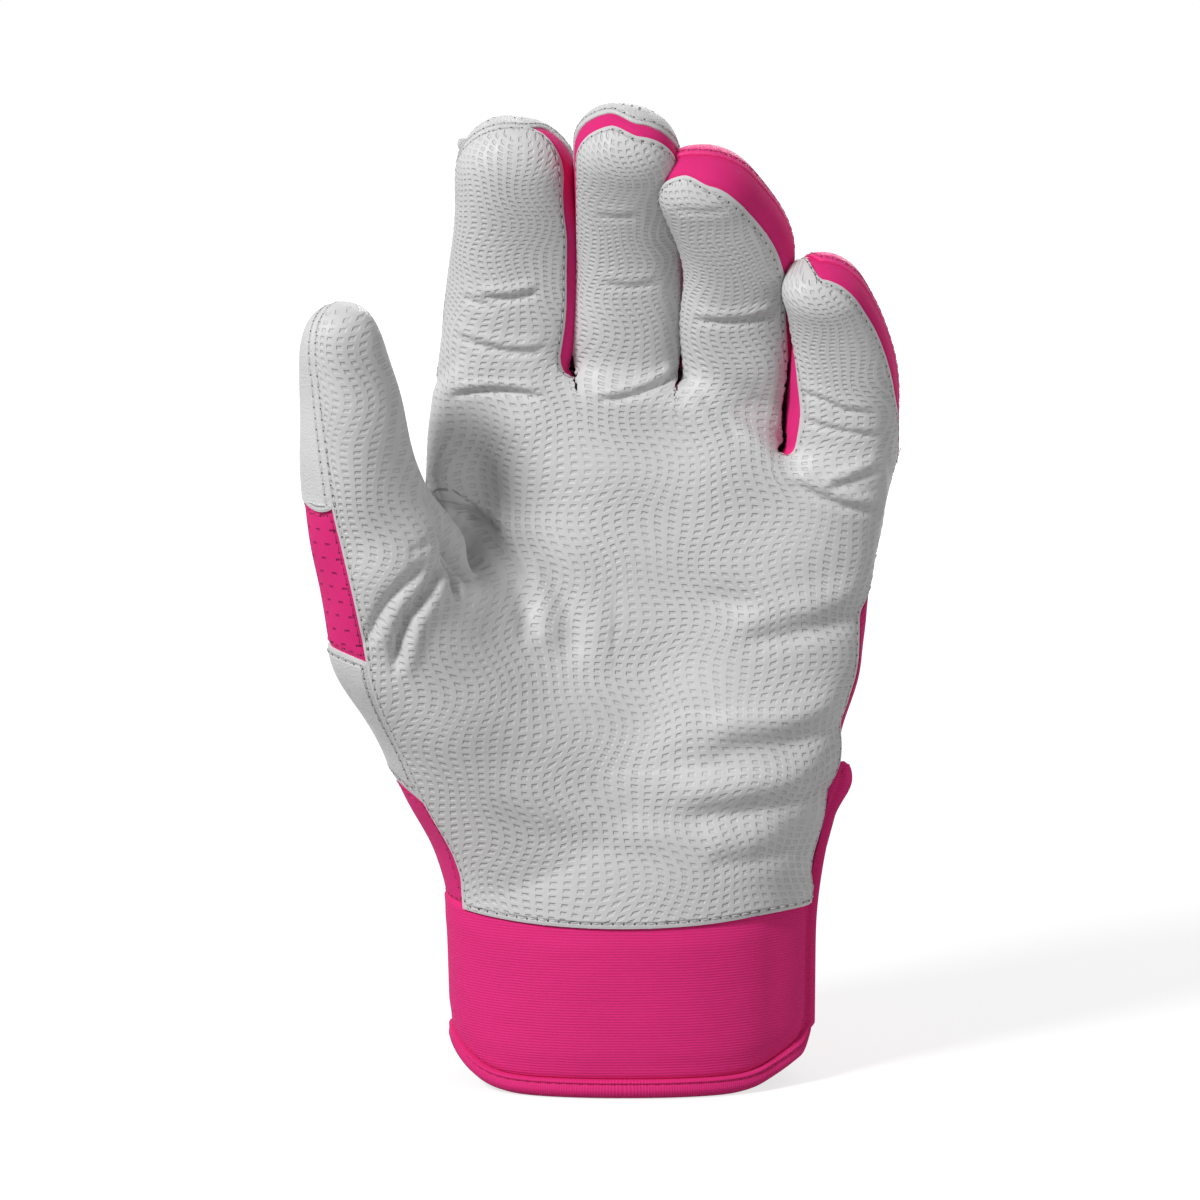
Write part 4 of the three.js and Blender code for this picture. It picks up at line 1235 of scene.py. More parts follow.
class Finish:
    """A material whose nodes are added one by one. Its patterns read the cloth attribute, in millimetres."""

    def __init__(self, name, color, roughness, specular=0.4, sheen=0.0, sheen_tint=(1, 1, 1), on_cloth=True):
        self.material = bpy.data.materials.new(name)
        self.material.use_nodes = True
        self.tree = self.material.node_tree
        self.shader = self.tree.nodes["Principled BSDF"]
        self.tone = (*color, 1)
        self.shader.inputs["Base Color"].default_value = self.tone
        self.shader.inputs["Roughness"].default_value = roughness
        self.shader.inputs["Specular IOR Level"].default_value = specular
        self.shader.inputs["Sheen Weight"].default_value = sheen
        self.shader.inputs["Sheen Roughness"].default_value = 0.4
        self.shader.inputs["Sheen Tint"].default_value = (*sheen_tint, 1)
        if on_cloth:
            cloth = self.tree.nodes.new("ShaderNodeAttribute")
            cloth.attribute_name = "cloth"
            self.cloth = cloth.outputs["Vector"]
        else:
            place = self.tree.nodes.new("ShaderNodeTexCoord")
            cloth = self.tree.nodes.new("ShaderNodeVectorMath")
            cloth.operation = "SCALE"
            cloth.inputs["Scale"].default_value = 1000
            self.tree.links.new(place.outputs["Object"], cloth.inputs[0])
            self.cloth = cloth.outputs[0]
        parts = self.tree.nodes.new("ShaderNodeSeparateXYZ")
        self.tree.links.new(self.cloth, parts.inputs[0])
        self.u, self.v, self.edge = parts.outputs

    def set(self, socket, value):
        if isinstance(value, bpy.types.NodeSocket):
            self.tree.links.new(value, socket)
        else:
            socket.default_value = value

    def math(self, operation, *values):
        node = self.tree.nodes.new("ShaderNodeMath")
        node.operation = operation
        for socket, value in zip(node.inputs, values):
            self.set(socket, value)
        return node.outputs[0]

    def ramp(self, value, low, high, start=0.0, end=1.0):
        """A smooth step of a value from low to high, given out as start to end."""
        node = self.tree.nodes.new("ShaderNodeMapRange")
        node.interpolation_type = "SMOOTHSTEP"
        for socket, number in zip(node.inputs, (value, low, high, start, end)):
            self.set(socket, number)
        return node.outputs[0]

    def noise(self, size, detail=2.0):
        """Noise whose grains are about size millimetres across."""
        place = self.tree.nodes.new("ShaderNodeMapping")
        place.inputs["Scale"].default_value = [1 / size] * 3
        self.tree.links.new(self.cloth, place.inputs["Vector"])
        node = self.tree.nodes.new("ShaderNodeTexNoise")
        node.inputs["Scale"].default_value = 1.0
        node.inputs["Detail"].default_value = detail
        self.tree.links.new(place.outputs[0], node.inputs["Vector"])
        return node.outputs["Fac"]

    def pebbles(self, size):
        """Distance from the cell borders of a pebbled grain."""
        node = self.tree.nodes.new("ShaderNodeTexVoronoi")
        node.feature = "DISTANCE_TO_EDGE"
        node.inputs["Scale"].default_value = 1 / size
        self.tree.links.new(self.cloth, node.inputs["Vector"])
        return node.outputs["Distance"]

    def from_middle(self, value, pitch):
        """Distance in millimetres from the middle of a repeat."""
        turns = self.math("MULTIPLY", value, 1 / pitch)
        offset = self.math("SUBTRACT", self.math("FRACT", turns), 0.5)
        return self.math("MULTIPLY", self.math("ABSOLUTE", offset), pitch)

    def staggered(self, pitch):
        """Distances across and up from the middles of repeats, where each row is shifted by half a repeat."""
        row = self.math("FLOOR", self.math("MULTIPLY", self.v, 1 / pitch[1]))
        across = self.from_middle(self.math("MULTIPLY_ADD", row, pitch[0] / 2, self.u), pitch[0])
        return across, self.from_middle(self.v, pitch[1])

    def wave(self, value, pitch):
        return self.math("SINE", self.math("MULTIPLY", value, 2 * math.pi / pitch))

    def diagonal(self, share_u, share_v):
        return self.math("MULTIPLY_ADD", self.u, share_u, self.math("MULTIPLY", self.v, share_v))

    def bump(self, height, depth):
        """Relief of a depth in millimetres for a height from 0 to 1."""
        node = self.tree.nodes.new("ShaderNodeBump")
        node.inputs["Distance"].default_value = depth / 1000
        self.tree.links.new(height, node.inputs["Height"])
        normal = self.shader.inputs["Normal"]
        if normal.links:
            self.tree.links.new(normal.links[0].from_socket, node.inputs["Normal"])
        self.tree.links.new(node.outputs[0], normal)

    def tinted(self, share, color):
        """The colour so far, turned towards another one by a share."""
        node = self.tree.nodes.new("ShaderNodeMix")
        node.data_type = "RGBA"
        self.set(node.inputs[0], share)
        self.set(node.inputs[6], self.tone)
        node.inputs[7].default_value = (*color, 1)
        self.tone = node.outputs[2]
        self.tree.links.new(self.tone, self.shader.inputs["Base Color"])

    def rough(self, share, low, high):
        self.tree.links.new(self.ramp(share, 0.3, 0.7, low, high), self.shader.inputs["Roughness"])

    def seam_groove(self):
        """The line that the stitches press into a panel beside its edge."""
        away = self.math("ABSOLUTE", self.math("SUBTRACT", self.edge, STITCH_INSIDE))
        self.bump(self.ramp(away, 0, SEAM_GROOVE["width"]), SEAM_GROOVE["depth"])


def darker(color, factor):
    return tuple(c * factor for c in color)


WHITE = (0.60, 0.60, 0.605)
BRIGHT_WHITE = (0.63, 0.63, 0.635)
PINK = (0.77, 0.026, 0.205)
LIGHT_PINK = (0.82, 0.036, 0.235)
PILE_WHITE = (0.6, 0.6, 0.61)
THREAD_WHITE = (0.62, 0.62, 0.63)
THREAD_PINK = (0.62, 0.03, 0.16)
# Painted shade in the needle holes, on white panels and on pink ones.
HOLE_SHADE_ON_WHITE = (0.1, 0.1, 0.1)
HOLE_SHADE_ON_PINK = (0.09, 0.004, 0.02)
PINK_SHEEN = (1, 0.2, 0.5)


def palm_leather():
    """Leather embossed with small rounded pits in wandering rows and columns."""
    finish = Finish("palm_leather", WHITE, 0.5)
    across = finish.math("SUBTRACT", finish.from_middle(finish.u, PIT_PITCH[0]), PIT_SIZE[0] / 2)
    up = finish.math("SUBTRACT", finish.from_middle(finish.v, PIT_PITCH[1]), PIT_SIZE[1] / 2)
    outside = finish.math("SMOOTH_MAX", across, up, 0.2)
    pit = finish.ramp(outside, -0.24, 0.1, 1, 0)
    pit = finish.math("MULTIPLY", pit, finish.ramp(finish.edge, 0.5, 1.1))
    pit = finish.math("MULTIPLY", pit, finish.ramp(finish.noise(14), 0.25, 0.6, 0.55, 1))
    finish.bump(finish.noise(0.28, 3), 0.035)
    finish.bump(finish.noise(1.6, 3), 0.09)
    finish.bump(finish.math("SUBTRACT", 1, pit), 0.2)
    finish.seam_groove()
    finish.tinted(finish.ramp(finish.noise(30), 0.35, 0.75, 0, 0.5), darker(WHITE, 0.9))
    # The pits are tinted darker: painted shade in their hollows.
    finish.tinted(finish.math("MULTIPLY", pit, 0.1), darker(WHITE, 0.6))
    finish.rough(finish.noise(4, 3), 0.42, 0.6)
    return finish.material


def smooth_leather(name, color, perforated=False):
    """Leather with a fine pebbled grain, and rows of holes where it is perforated."""
    finish = Finish(name, color, 0.5)
    finish.bump(finish.ramp(finish.pebbles(0.75), 0, 0.25), 0.05)
    finish.bump(finish.noise(0.3, 3), 0.03)
    finish.bump(finish.noise(2.2, 2), 0.12)
    finish.seam_groove()
    finish.tinted(finish.ramp(finish.noise(24), 0.35, 0.75, 0, 0.5), darker(color, 0.9))
    if perforated:
        across, up = (finish.math("POWER", offset, 2.0) for offset in finish.staggered(HOLE_PITCH))
        away = finish.math("SQRT", finish.math("ADD", across, up))
        hole = finish.ramp(away, HOLE_RADIUS * 0.7, HOLE_RADIUS * 1.25, 1, 0)
        hole = finish.math("MULTIPLY", hole, finish.ramp(finish.edge, 3.2, 3.6))
        finish.bump(finish.math("SUBTRACT", 1, hole), 0.4)
        # The holes are painted almost black: painted shade inside them.
        finish.tinted(hole, darker(color, 0.12))
    finish.rough(finish.noise(5, 3), 0.42, 0.58)
    return finish.material


def stretch_knit(name, pitch, depth):
    """A four-way stretch knit with a fine slanted rib."""
    finish = Finish(name, PINK, 0.8, 0.18, 0.12, PINK_SHEEN)
    rib = finish.wave(finish.diagonal(0.8, 0.6), pitch)
    finish.bump(finish.ramp(rib, -1, 1), depth)
    finish.bump(finish.noise(0.3, 3), 0.05)
    # The rib's hollows are painted darker: painted shade in the grooves.
    finish.tinted(finish.ramp(rib, 0.2, -1, 0, 4 * depth), darker(PINK, 0.55))
    finish.tinted(finish.ramp(finish.noise(18), 0.4, 0.75, 0, 0.35), darker(PINK, 0.8))
    return finish.material


def mesh_knit():
    """A spacer mesh with fine upright ribs and staggered slots."""
    finish = Finish("mesh_knit", PINK, 0.75, 0.18, 0.1, PINK_SHEEN)
    across, up = finish.staggered(SLOT_PITCH)
    beside = finish.math("SUBTRACT", across, SLOT_SIZE[0] / 2)
    above = finish.math("SUBTRACT", up, SLOT_SIZE[1] / 2)
    outside = finish.math("SMOOTH_MAX", beside, above, 0.2)
    slot = finish.ramp(outside, -0.1, 0.14, 1, 0)
    rib = finish.wave(finish.u, 0.55)
    finish.bump(finish.ramp(rib, -1, 1), 0.05)
    finish.bump(finish.math("SUBTRACT", 1, slot), 0.3)
    # The rib's hollows and the slots are painted darker: painted shade in the grooves and openings.
    finish.tinted(finish.ramp(rib, 0.2, -1, 0, 0.25), darker(PINK, 0.6))
    finish.tinted(finish.math("MULTIPLY", slot, 0.6), darker(PINK, 0.35))
    return finish.material


def neoprene():
    """Foam rubber faced with a fine jersey, whose courses run round the wrist."""
    finish = Finish("neoprene", PINK, 0.75, 0.18, 0.12, PINK_SHEEN)
    course = finish.wave(finish.math("MULTIPLY_ADD", finish.noise(6), 0.35, finish.v), 0.56)
    finish.bump(finish.ramp(course, -1, 1), 0.05)
    finish.bump(finish.noise(0.22, 3), 0.05)
    finish.bump(finish.noise(9, 2), 0.25)
    # The courses' hollows are painted darker: painted shade in the grooves.
    finish.tinted(finish.ramp(course, 0.3, -1, 0, 0.3), darker(PINK, 0.72))
    finish.tinted(finish.ramp(finish.noise(0.25, 2), 0.5, 0.8, 0, 0.45), LIGHT_PINK)
    finish.tinted(finish.ramp(finish.noise(26), 0.4, 0.75, 0, 0.3), darker(PINK, 0.82))
    return finish.material


def binding_tape():
    """Woven tape with fine ribs across it."""
    finish = Finish("binding_tape", PINK, 0.7, 0.18, 0.1, PINK_SHEEN)
    rib = finish.wave(finish.math("MULTIPLY_ADD", finish.noise(2), 0.15, finish.u), 0.52)
    finish.bump(finish.ramp(rib, -1, 1), 0.07)
    finish.bump(finish.noise(0.25, 3), 0.04)
    # The ribs' hollows are painted darker: painted shade in the grooves.
    finish.tinted(finish.ramp(rib, 0.2, -1, 0, 0.4), darker(PINK, 0.65))
    finish.tinted(finish.ramp(finish.noise(12), 0.4, 0.75, 0, 0.3), darker(PINK, 0.85))
    return finish.material


def fuzzy(name, color):
    """Cloth under a pile."""
    finish = Finish(name, color, 0.9, 0.2, 0.3)
    finish.bump(finish.noise(0.5, 4), 0.2)
    finish.tinted(finish.ramp(finish.noise(0.6, 3), 0.4, 0.7, 0, 0.5), darker(color, 0.7))
    return finish.material


def thread(name, color):
    finish = Finish(name, color, 0.55, 0.3, on_cloth=False)
    finish.bump(finish.noise(0.2, 2), 0.03)
    finish.tinted(finish.noise(3), darker(color, 0.85))
    return finish.material


palm_finish = palm_leather()
white_finish = smooth_leather("smooth_leather", BRIGHT_WHITE)
perforated_finish = smooth_leather("perforated_leather", BRIGHT_WHITE, perforated=True)
pink_leather_finish = smooth_leather("pink_leather", LIGHT_PINK)
knit_finish = stretch_knit("stretch_knit", 0.75, 0.09)
fine_knit_finish = stretch_knit("fine_stretch_knit", 0.36, 0.03)
mesh_finish = mesh_knit()
neoprene_finish = neoprene()
tape_finish = binding_tape()
pile_finish = fuzzy("pile", PILE_WHITE)
loop_finish = thread("pile_loops", THREAD_WHITE)
white_thread = thread("white_thread", THREAD_WHITE)
pink_thread = thread("pink_thread", THREAD_PINK)
# Dark finishes for the beads that paint the shade in the needle holes.
needle_hole_shade = thread("needle_hole_shade", HOLE_SHADE_ON_WHITE)
pink_needle_hole_shade = thread("pink_needle_hole_shade", HOLE_SHADE_ON_PINK)
WHITE_SEWING = (white_thread, needle_hole_shade)
PINK_SEWING = (pink_thread, pink_needle_hole_shade)

# The slot that a piece in each finish belongs to.
SLOT_OF = {
    palm_finish.name: "palm_leather",
    white_finish.name: "smooth_leather",
    perforated_finish.name: "perforated_leather",
    pink_leather_finish.name: "pink_leather",
    knit_finish.name: "stretch_knit",
    fine_knit_finish.name: "stretch_knit",
    mesh_finish.name: "mesh_knit",
    neoprene_finish.name: "neoprene",
    tape_finish.name: "binding_tape",
    pile_finish.name: "hook_and_loop",
}
BACK_FINISHES = {
    "index": perforated_finish,
    "middle": perforated_finish,
    "ring": pink_leather_finish,
    "little": pink_leather_finish,
    "thumb": white_finish,
}


SOCKET_KINDS = {float: "NodeSocketFloat", int: "NodeSocketInt", str: "NodeSocketMaterial"}


class Graph:
    """A Geometry Nodes tree with named inputs, whose nodes are added one by one."""

    def __init__(self, name, **inputs):
        self.tree = bpy.data.node_groups.new(name, "GeometryNodeTree")
        sockets = self.tree.interface
        sockets.new_socket("Source", in_out="INPUT", socket_type="NodeSocketGeometry")
        for label, value in inputs.items():
            socket = sockets.new_socket(label, in_out="INPUT", socket_type=SOCKET_KINDS[type(value)])
            if not isinstance(value, str):
                socket.default_value = value
        sockets.new_socket("Result", in_out="OUTPUT", socket_type="NodeSocketGeometry")
        self.given = self.tree.nodes.new("NodeGroupInput").outputs

    def add(self, kind, sockets=None, output=0, **settings):
        """A node with some of its sockets linked or set. Gives out one of its outputs."""
        node = self.tree.nodes.new(kind)
        for key, value in settings.items():
            setattr(node, key, value)
        for key, value in (sockets or {}).items():
            if isinstance(value, bpy.types.NodeSocket):
                self.tree.links.new(value, node.inputs[key])
            else:
                node.inputs[key].default_value = value
        return node.outputs[output]

    def vector(self, x, y, z):
        return self.add("ShaderNodeCombineXYZ", {"X": x, "Y": y, "Z": z})

    def scatter(self, points, instance, rotation):
        """Ends the tree with a copy on each point, as real geometry in the finish that is given to it."""
        copies = self.add(
            "GeometryNodeInstanceOnPoints", {"Points": points, "Instance": instance, "Rotation": rotation})
        real = self.add("GeometryNodeRealizeInstances", {"Geometry": copies})
        smooth = self.add("GeometryNodeSetShadeSmooth", {"Geometry": real})
        final = self.add("GeometryNodeSetMaterial", {"Geometry": smooth, "Material": self.given["Finish"]})
        self.tree.links.new(final, self.tree.nodes.new("NodeGroupOutput").inputs[0])

    def grown(self, name, source, **values):
        """A plain object that the tree makes from a mesh. Lengths are given in millimetres."""
        holder = placed(name, source)
        modifier = holder.modifiers.new("rows", "NODES")
        modifier.node_group = self.tree
        for item in self.tree.interface.items_tree:
            if item.name in values:
                value = values[item.name]
                modifier[item.identifier] = value / 1000 if isinstance(value, float) else value
        evaluated = holder.evaluated_get(bpy.context.evaluated_depsgraph_get())
        plain_mesh = bpy.data.meshes.new_from_object(evaluated)
        holder.modifiers.remove(modifier)
        bpy.data.objects.remove(holder)
        plain_mesh.name = name
        return placed(name, plain_mesh)


def stitch_graph():
    """Beads at even steps along lines, turned with the line and the surface under it."""
    graph = Graph("stitch_row", Spacing=0.0022, Length=0.0015, Thickness=0.0003, Height=0.0003, Along=0.0,
                  Lift=0.0, Finish="")
    given = graph.given
    curve = graph.add("GeometryNodeMeshToCurve", {"Mesh": given["Source"]})
    points = graph.add(
        "GeometryNodeResampleCurve", {"Curve": curve, "Length": given["Spacing"]}, mode="LENGTH")
    side = graph.add("GeometryNodeInputNamedAttribute", {"Name": "side"}, data_type="FLOAT_VECTOR")
    turned = graph.add(
        "FunctionNodeAxesToRotation",
        {"Primary Axis": graph.add("GeometryNodeInputTangent"), "Secondary Axis": side},
        primary_axis="X", secondary_axis="Z")
    bead = graph.add("GeometryNodeMeshUVSphere", {"Segments": 6, "Rings": 4, "Radius": 0.5})
    bead = graph.add("GeometryNodeTransform", {
        "Geometry": bead,
        "Translation": graph.vector(given["Along"], 0.0, given["Lift"]),
        "Scale": graph.vector(given["Length"], given["Thickness"], given["Height"]),
    })
    graph.scatter(points, bead, turned)
    return graph


def pile_graph():
    """Small arched loops of thread scattered over a patch, each turned its own way."""
    graph = Graph("pile_loops", Density=1.4e6, Radius=0.0005, Thickness=0.00008, Seed=5, Finish="")
    given = graph.given
    scatter = graph.add("GeometryNodeDistributePointsOnFaces", {
        "Mesh": given["Source"], "Density": given["Density"], "Seed": given["Seed"]})
    rotation = graph.tree.nodes[-1].outputs["Rotation"]
    arc = graph.add("GeometryNodeCurveArc", {
        "Resolution": 6, "Radius": given["Radius"], "Start Angle": 0.0, "Sweep Angle": math.radians(200)})
    tube = graph.add("GeometryNodeCurvePrimitiveCircle", {"Resolution": 3, "Radius": given["Thickness"]})
    loop = graph.add("GeometryNodeCurveToMesh", {"Curve": arc, "Profile Curve": tube, "Fill Caps": True})
    upright = graph.add("GeometryNodeTransform", {"Geometry": loop, "Rotation": (math.pi / 2, 0, 0)})
    spin = graph.add("FunctionNodeRandomValue", {"Max": 2 * math.pi, "Seed": given["Seed"]}, 1)
    turn = graph.add("FunctionNodeAxisAngleToRotation", {"Axis": (0, 0, 1), "Angle": spin})
    turned = graph.add(
        "FunctionNodeRotateRotation", {"Rotation": rotation, "Rotate By": turn}, rotation_space="LOCAL")
    graph.scatter(scatter, upright, turned)
    return graph


stitches = stitch_graph()
piles = pile_graph()


def joined(lines):
    """Several lines as one set of points, normals and pairs."""
    starts = np.cumsum([0] + [len(points) for points, _, _ in lines])
    return (
        np.concatenate([points for points, _, _ in lines]),
        np.concatenate([normals for _, normals, _ in lines]),
        np.concatenate([pairs + start for (_, _, pairs), start in zip(lines, starts)]),
    )


def ready(piece, body, *nodes, slot=None):
    """Attaches a finished piece to the body that is named, or else bakes its placement into its mesh, and
    hides the CAD nodes it stands in for.
    """
    if isinstance(body, str):
        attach(piece, body)
    else:
        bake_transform(piece)
    slot = slot or SLOT_OF[piece.data.materials[0].name]
    if nodes:
        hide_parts(*nodes)


def sewn(name, lines, body, slot, lift):
    """Rows of stitches along some lines, and between them dark beads as painted shade in the needle holes."""
    points, normals, pairs = joined(lines)
    source = bpy.data.meshes.new(name)
    source.from_pydata((points + SHIFT) / 1000, pairs.tolist(), [])
    side = source.attributes.new("side", "FLOAT_VECTOR", "POINT")
    side.data.foreach_set("vector", normals.astype(np.float32).ravel())
    threads, holes = WHITE_SEWING if slot in WHITE_SLOTS else PINK_SEWING
    # The second kind of bead is dark: painted shade in the needle holes.
    for kind, material, sizes in (("_stitches", threads, STITCH), ("_needle_hole_shade", holes, NEEDLE_HOLE_SHADE)):
        row = stitches.grown(name + kind, source, Spacing=STITCH_STEP, Lift=lift, Finish=material, **sizes)
        ready(row, body, slot=slot)


def around_wrist(angles, heights, offset):
    """A line round the wrist with its normals."""
    points = wrapped(angles, heights, offset)
    normals = unit(wrapped(angles, heights, offset + 0.5) - points)
    count = np.arange(len(points) - 1)
    return points, normals, np.stack([count, count + 1], -1)


def bend_of(name):
    """The digit's name with two points on its middle line, at its base and a bend length further on."""
    if name == "thumb":
        start = np.array([*THUMB_BEND, THUMB_BASE])
        return name, start, start + np.array([0, 0, BEND_LENGTH])
    digit = digits[name]
    i = digit.station(0)
    start = digit.centre[i]
    return name, start, start + digit.direction[i] * BEND_LENGTH


def outside_slit(p, near=SLIT_ROOM["near"], top=SLIT_ROOM["top"]):
    """How far a point lies outside the slit at the little-finger side."""
    middle, half = (near + SLIT_ROOM["far"]) / 2, (SLIT_ROOM["far"] - near) / 2
    beside = np.abs(p[:, 1] - middle) - half
    level = -smooth_min(-beside, top - p[:, 2], SLIT_ROOM["corner"])
    return np.where(p[:, 0] > SLIT_ROOM["left"], level, FAR_AWAY)


def over_hem(p):
    """How high a point lies over the line where the leather is sewn on the cuff."""
    return p[:, 2] - hem_line(np.clip((p[:, 0] - CUFF_MIDDLE) / CUFF_HALF, -1, 1))


def palm_lift(p):
    """The palm leather lies on the cuff's top, and stands out beside the slit."""
    on_cuff = HEM_LIFT["height"] * (1 - smoothstep(over_hem(p), *HEM_LIFT["fall"]))
    beside_slit = SLIT_LIFT["height"] * smoothstep(p[:, 1], *SLIT_LIFT["depth"])
    beside_slit *= (1 - smoothstep(p[:, 2], *SLIT_LIFT["fall"])) * (p[:, 0] > SLIT_ROOM["left"])
    return on_cuff + beside_slit


def knit_band(skin):
    """The knit between the palm leather and the back."""
    return skin.above(np.minimum(skin["front"], -skin["back"]) - BAND_INSET)


def beside_thumb(p):
    """How far points lie on the thumb's side of the back's upright seam."""
    return side_line(p[:, 2]) - p[:, 0]


def over_mesh(p):
    """How high points lie over the sagging hem of the leather above the mesh."""
    return p[:, 2] - MESH_TOP["height"] - MESH_TOP["sag"] * (p[:, 0] - MESH_TOP["at"]) ** 2


def over_back_knit(p):
    """How high points lie over the seam between the back's knit and the knuckle leather."""
    return p[:, 2] - knuckle_height(p[:, 0])


def dress_hand():
    """The palm, the knit between the fingers, the side of the thumb and the back, with their stitches."""
    skin = skin_of(None)
    palm = skin.above(-skin["front"]).cut(over_hem).cut(lambda p: outside_slit(p, SLIT_LEATHER_EDGE))
    palm.values["place"] = palm["place"] + palm["normal"] * palm_lift(palm["rest"])[:, None]
    leather = shell("palm_leather_panel", palm, palm_finish, proud=PALM_PROUD, pattern=meandering)
    ready(leather, "hand", "palm_panel")

    gussets = knit_band(skin)
    gusset_x = gussets["rest"][:, 0]
    for name, (low, high) in GUSSETS.items():
        gusset = gussets.only((gusset_x > low) & (gusset_x < high))
        # Where the hand's skin has no face for a gusset, its CAD body stays.
        if len(gusset.faces):
            ready(shell(name + "_crotch_knit", gusset, fine_knit_finish), "hand", name + "_gusset")

    back = skin.above(skin["back"]).cut(over_hem).cut(lambda p: outside_slit(p, top=SLIT_ROOM["back_top"]))
    side, centre = back.split(beside_thumb)
    lower, stretch = side.split(lambda p: slanted(STRETCH_TOP, p))
    insert, base = lower.split(lambda p: slanted(MESH_BOTTOM, p))
    hem, mesh = insert.split(over_mesh)
    knuckles, knit = centre.split(over_back_knit)
    for name, part, finish, cloth, proud, *nodes in (
        ("thumb_side_stretch_knit", stretch, knit_finish, "side_cloth", KNIT_PROUD, "thumb_side_stretch"),
        ("thumb_base_leather", base, white_finish, "side_cloth", BACK_PROUD, "thumb_base_panel"),
        ("thumb_hem_leather", hem, white_finish, "side_cloth", HEM_PROUD),
        ("thumb_mesh_knit", mesh, mesh_finish, "side_cloth", KNIT_PROUD, "thumb_mesh_insert"),
        ("knuckle_leather", knuckles, white_finish, "back_cloth", BACK_PROUD, "knuckle_panel"),
        ("back_knit_panel", knit, knit_finish, "back_cloth", KNIT_PROUD, "back_panel"),
    ):
        ready(shell(name, part, finish, proud=proud, cloth=cloth), "hand", *nodes)

    below_fingers = palm.above(STITCHES_END - palm["rest"][:, 2], seam=False)
    leather_seams = [part.line(STITCH_INSIDE) for part in (below_fingers, base, knuckles)]
    sewn("hand_leather", leather_seams, "hand", "palm_leather", PALM_STITCH_LIFT)
    knit_seams = [part.line(STITCH_INSIDE) for part in (stretch, knit, mesh)]
    sewn("hand_knit", knit_seams, "hand", "stretch_knit", KNIT_STITCH_LIFT)


def dress_digit(name):
    """The palm leather and the back of one digit, their stitches, and the knit between them."""
    skin = skin_of(name)
    body = bend_of(name)
    front, back = skin.above(-skin["front"]), skin.above(skin["back"])
    finish = BACK_FINISHES[name]
    leather = shell(name + "_palm_leather", front, palm_finish, proud=PALM_PROUD, pattern=meandering)
    ready(leather, body, name + "_front")
    cover = shell(name + "_back_leather", back, finish, proud=BACK_PROUD, cloth="back_cloth")
    ready(cover, body, name + "_back")
    sewn(name + "_palm", [front.line(STITCH_INSIDE)], body, "palm_leather", PALM_STITCH_LIFT)
    sewn(name + "_back", [back.line(STITCH_INSIDE)], body, SLOT_OF[finish.name], BACK_STITCH_LIFT)
    if name != "thumb":
        ready(shell(name + "_side_knit", knit_band(skin), fine_knit_finish), body, name + "_fourchette")


def seam_tab(name, s, length, width, thickness):
    """A small tab of leather that sticks out of a finger's left seam, and leans towards the fingertip."""
    digit = digits[name]
    i = digit.station(s)
    across, normal, ahead = digit.across[i], digit.normal[i], digit.direction[i]
    root = digit.centre[i] - across * (digit.half_width[i] - TAB_ROOT)
    out, up = TAB_LEAN
    turn = np.linspace(0, 2 * math.pi, 17)[:-1]
    sections, cloth = [], []
    for share in np.linspace(0, 1, 9):
        reach = length * share
        line = root - across * reach * out + ahead * (reach * up + TAB_CURL * share ** 2)
        narrowing = math.sqrt(max(1 - share ** 4, 0.02))
        wide = np.outer(np.cos(turn), (ahead * out + across * up) * width / 2 * narrowing)
        thick = np.outer(np.sin(turn), normal * thickness / 2 * narrowing)
        sections.append(line + wide + thick)
        cloth.append(np.stack([np.cos(turn) * width / 2, 0 * turn + reach, 0 * turn + 3], -1))
    return lofted(name + "_seam_tab", white_finish, np.array(sections), np.array(cloth))


def roll(x, shape):
    """A half-round roll across a tape."""
    return shape["height"] * np.sqrt(np.clip(1 - ((x - shape["at"]) / shape["half"]) ** 2, 0, 1))


def ridge(x, shape):
    """A soft ridge across a tape."""
    return shape["height"] * np.exp(-((x - shape["at"]) / shape["half"]) ** 2)


def rim_relief(angle, z, edge):
    """The tape's round roll, the groove of its stitches and the thin ridge above."""
    up = z - rim_height(angle)
    return roll(up, RIM_ROLL) + ridge(up, RIM_RIDGE) - RIM_SUNK


def slit_relief(span):
    """A thin ridge and a round roll beside each other, with the groove of the stitches between them."""

    def relief(angle, z, edge):
        share = (angle - span[0]) / (span[1] - span[0])
        rolled = roll(share, SLIT_ROLL) * smoothstep(z, *SLIT_ROLL["start"])
        knob = ridge(z, SLIT_KNOB) * smoothstep(share, *SLIT_KNOB["across"])
        cap = np.sqrt(1 - np.clip((z - SLIT_TAPE_TOP + SLIT_CAP["start"]) / SLIT_CAP["height"], 0, 1) ** 2)
        stands_out = (rolled + knob + ridge(share, SLIT_RIDGE)) * cap
        return stands_out - SLIT_SUNK - SLIT_CAP["sunk"] * (1 - cap)

    return relief


def slit_top(span):
    """Height of a slit tape's top, rounded over its width."""

    def top(angle):
        from_middle = 2 * (angle - span[0]) / (span[1] - span[0]) - 1
        return SLIT_TAPE_TOP - SLIT_CAP["round"] * from_middle ** 4

    return top


def slit_bottom(angle):
    return tape_top(angle) - SLIT_INTO_RIM


def cuff_relief(angle, z, edge):
    """The soft puff of the neoprene between its seams, drawn in under the leather's hem."""
    hem, start = hem_height(angle), CUFF_PUFF["start"]
    under_hem = smoothstep(z, hem - CUFF_TUCK["below"], hem + CUFF_TUCK["above"])
    puffed = smoothstep(edge, start, CUFF_PUFF["full"]) - (1 - smoothstep(edge, 0, start))
    return CUFF_PUFF["height"] * puffed - CUFF_TUCK["depth"] * under_hem


def cuff_bottom(angle):
    return tape_top(angle) - CUFF_INTO_RIM


def cuff_top(angle):
    return hem_height(angle) + CUFF_INTO_HEM


def flared(offset):
    """An offset from the skin that stands out beside the slit."""
    return lambda angle: flare(angle) + offset


def rim_face(angle):
    """The rim's tape stands out a little more where it turns up into the slit's tape."""
    return flare(angle) + BINDING_PROUD + RIM_FLARE * flare(angle) / SLIT_FLARE["reach"]


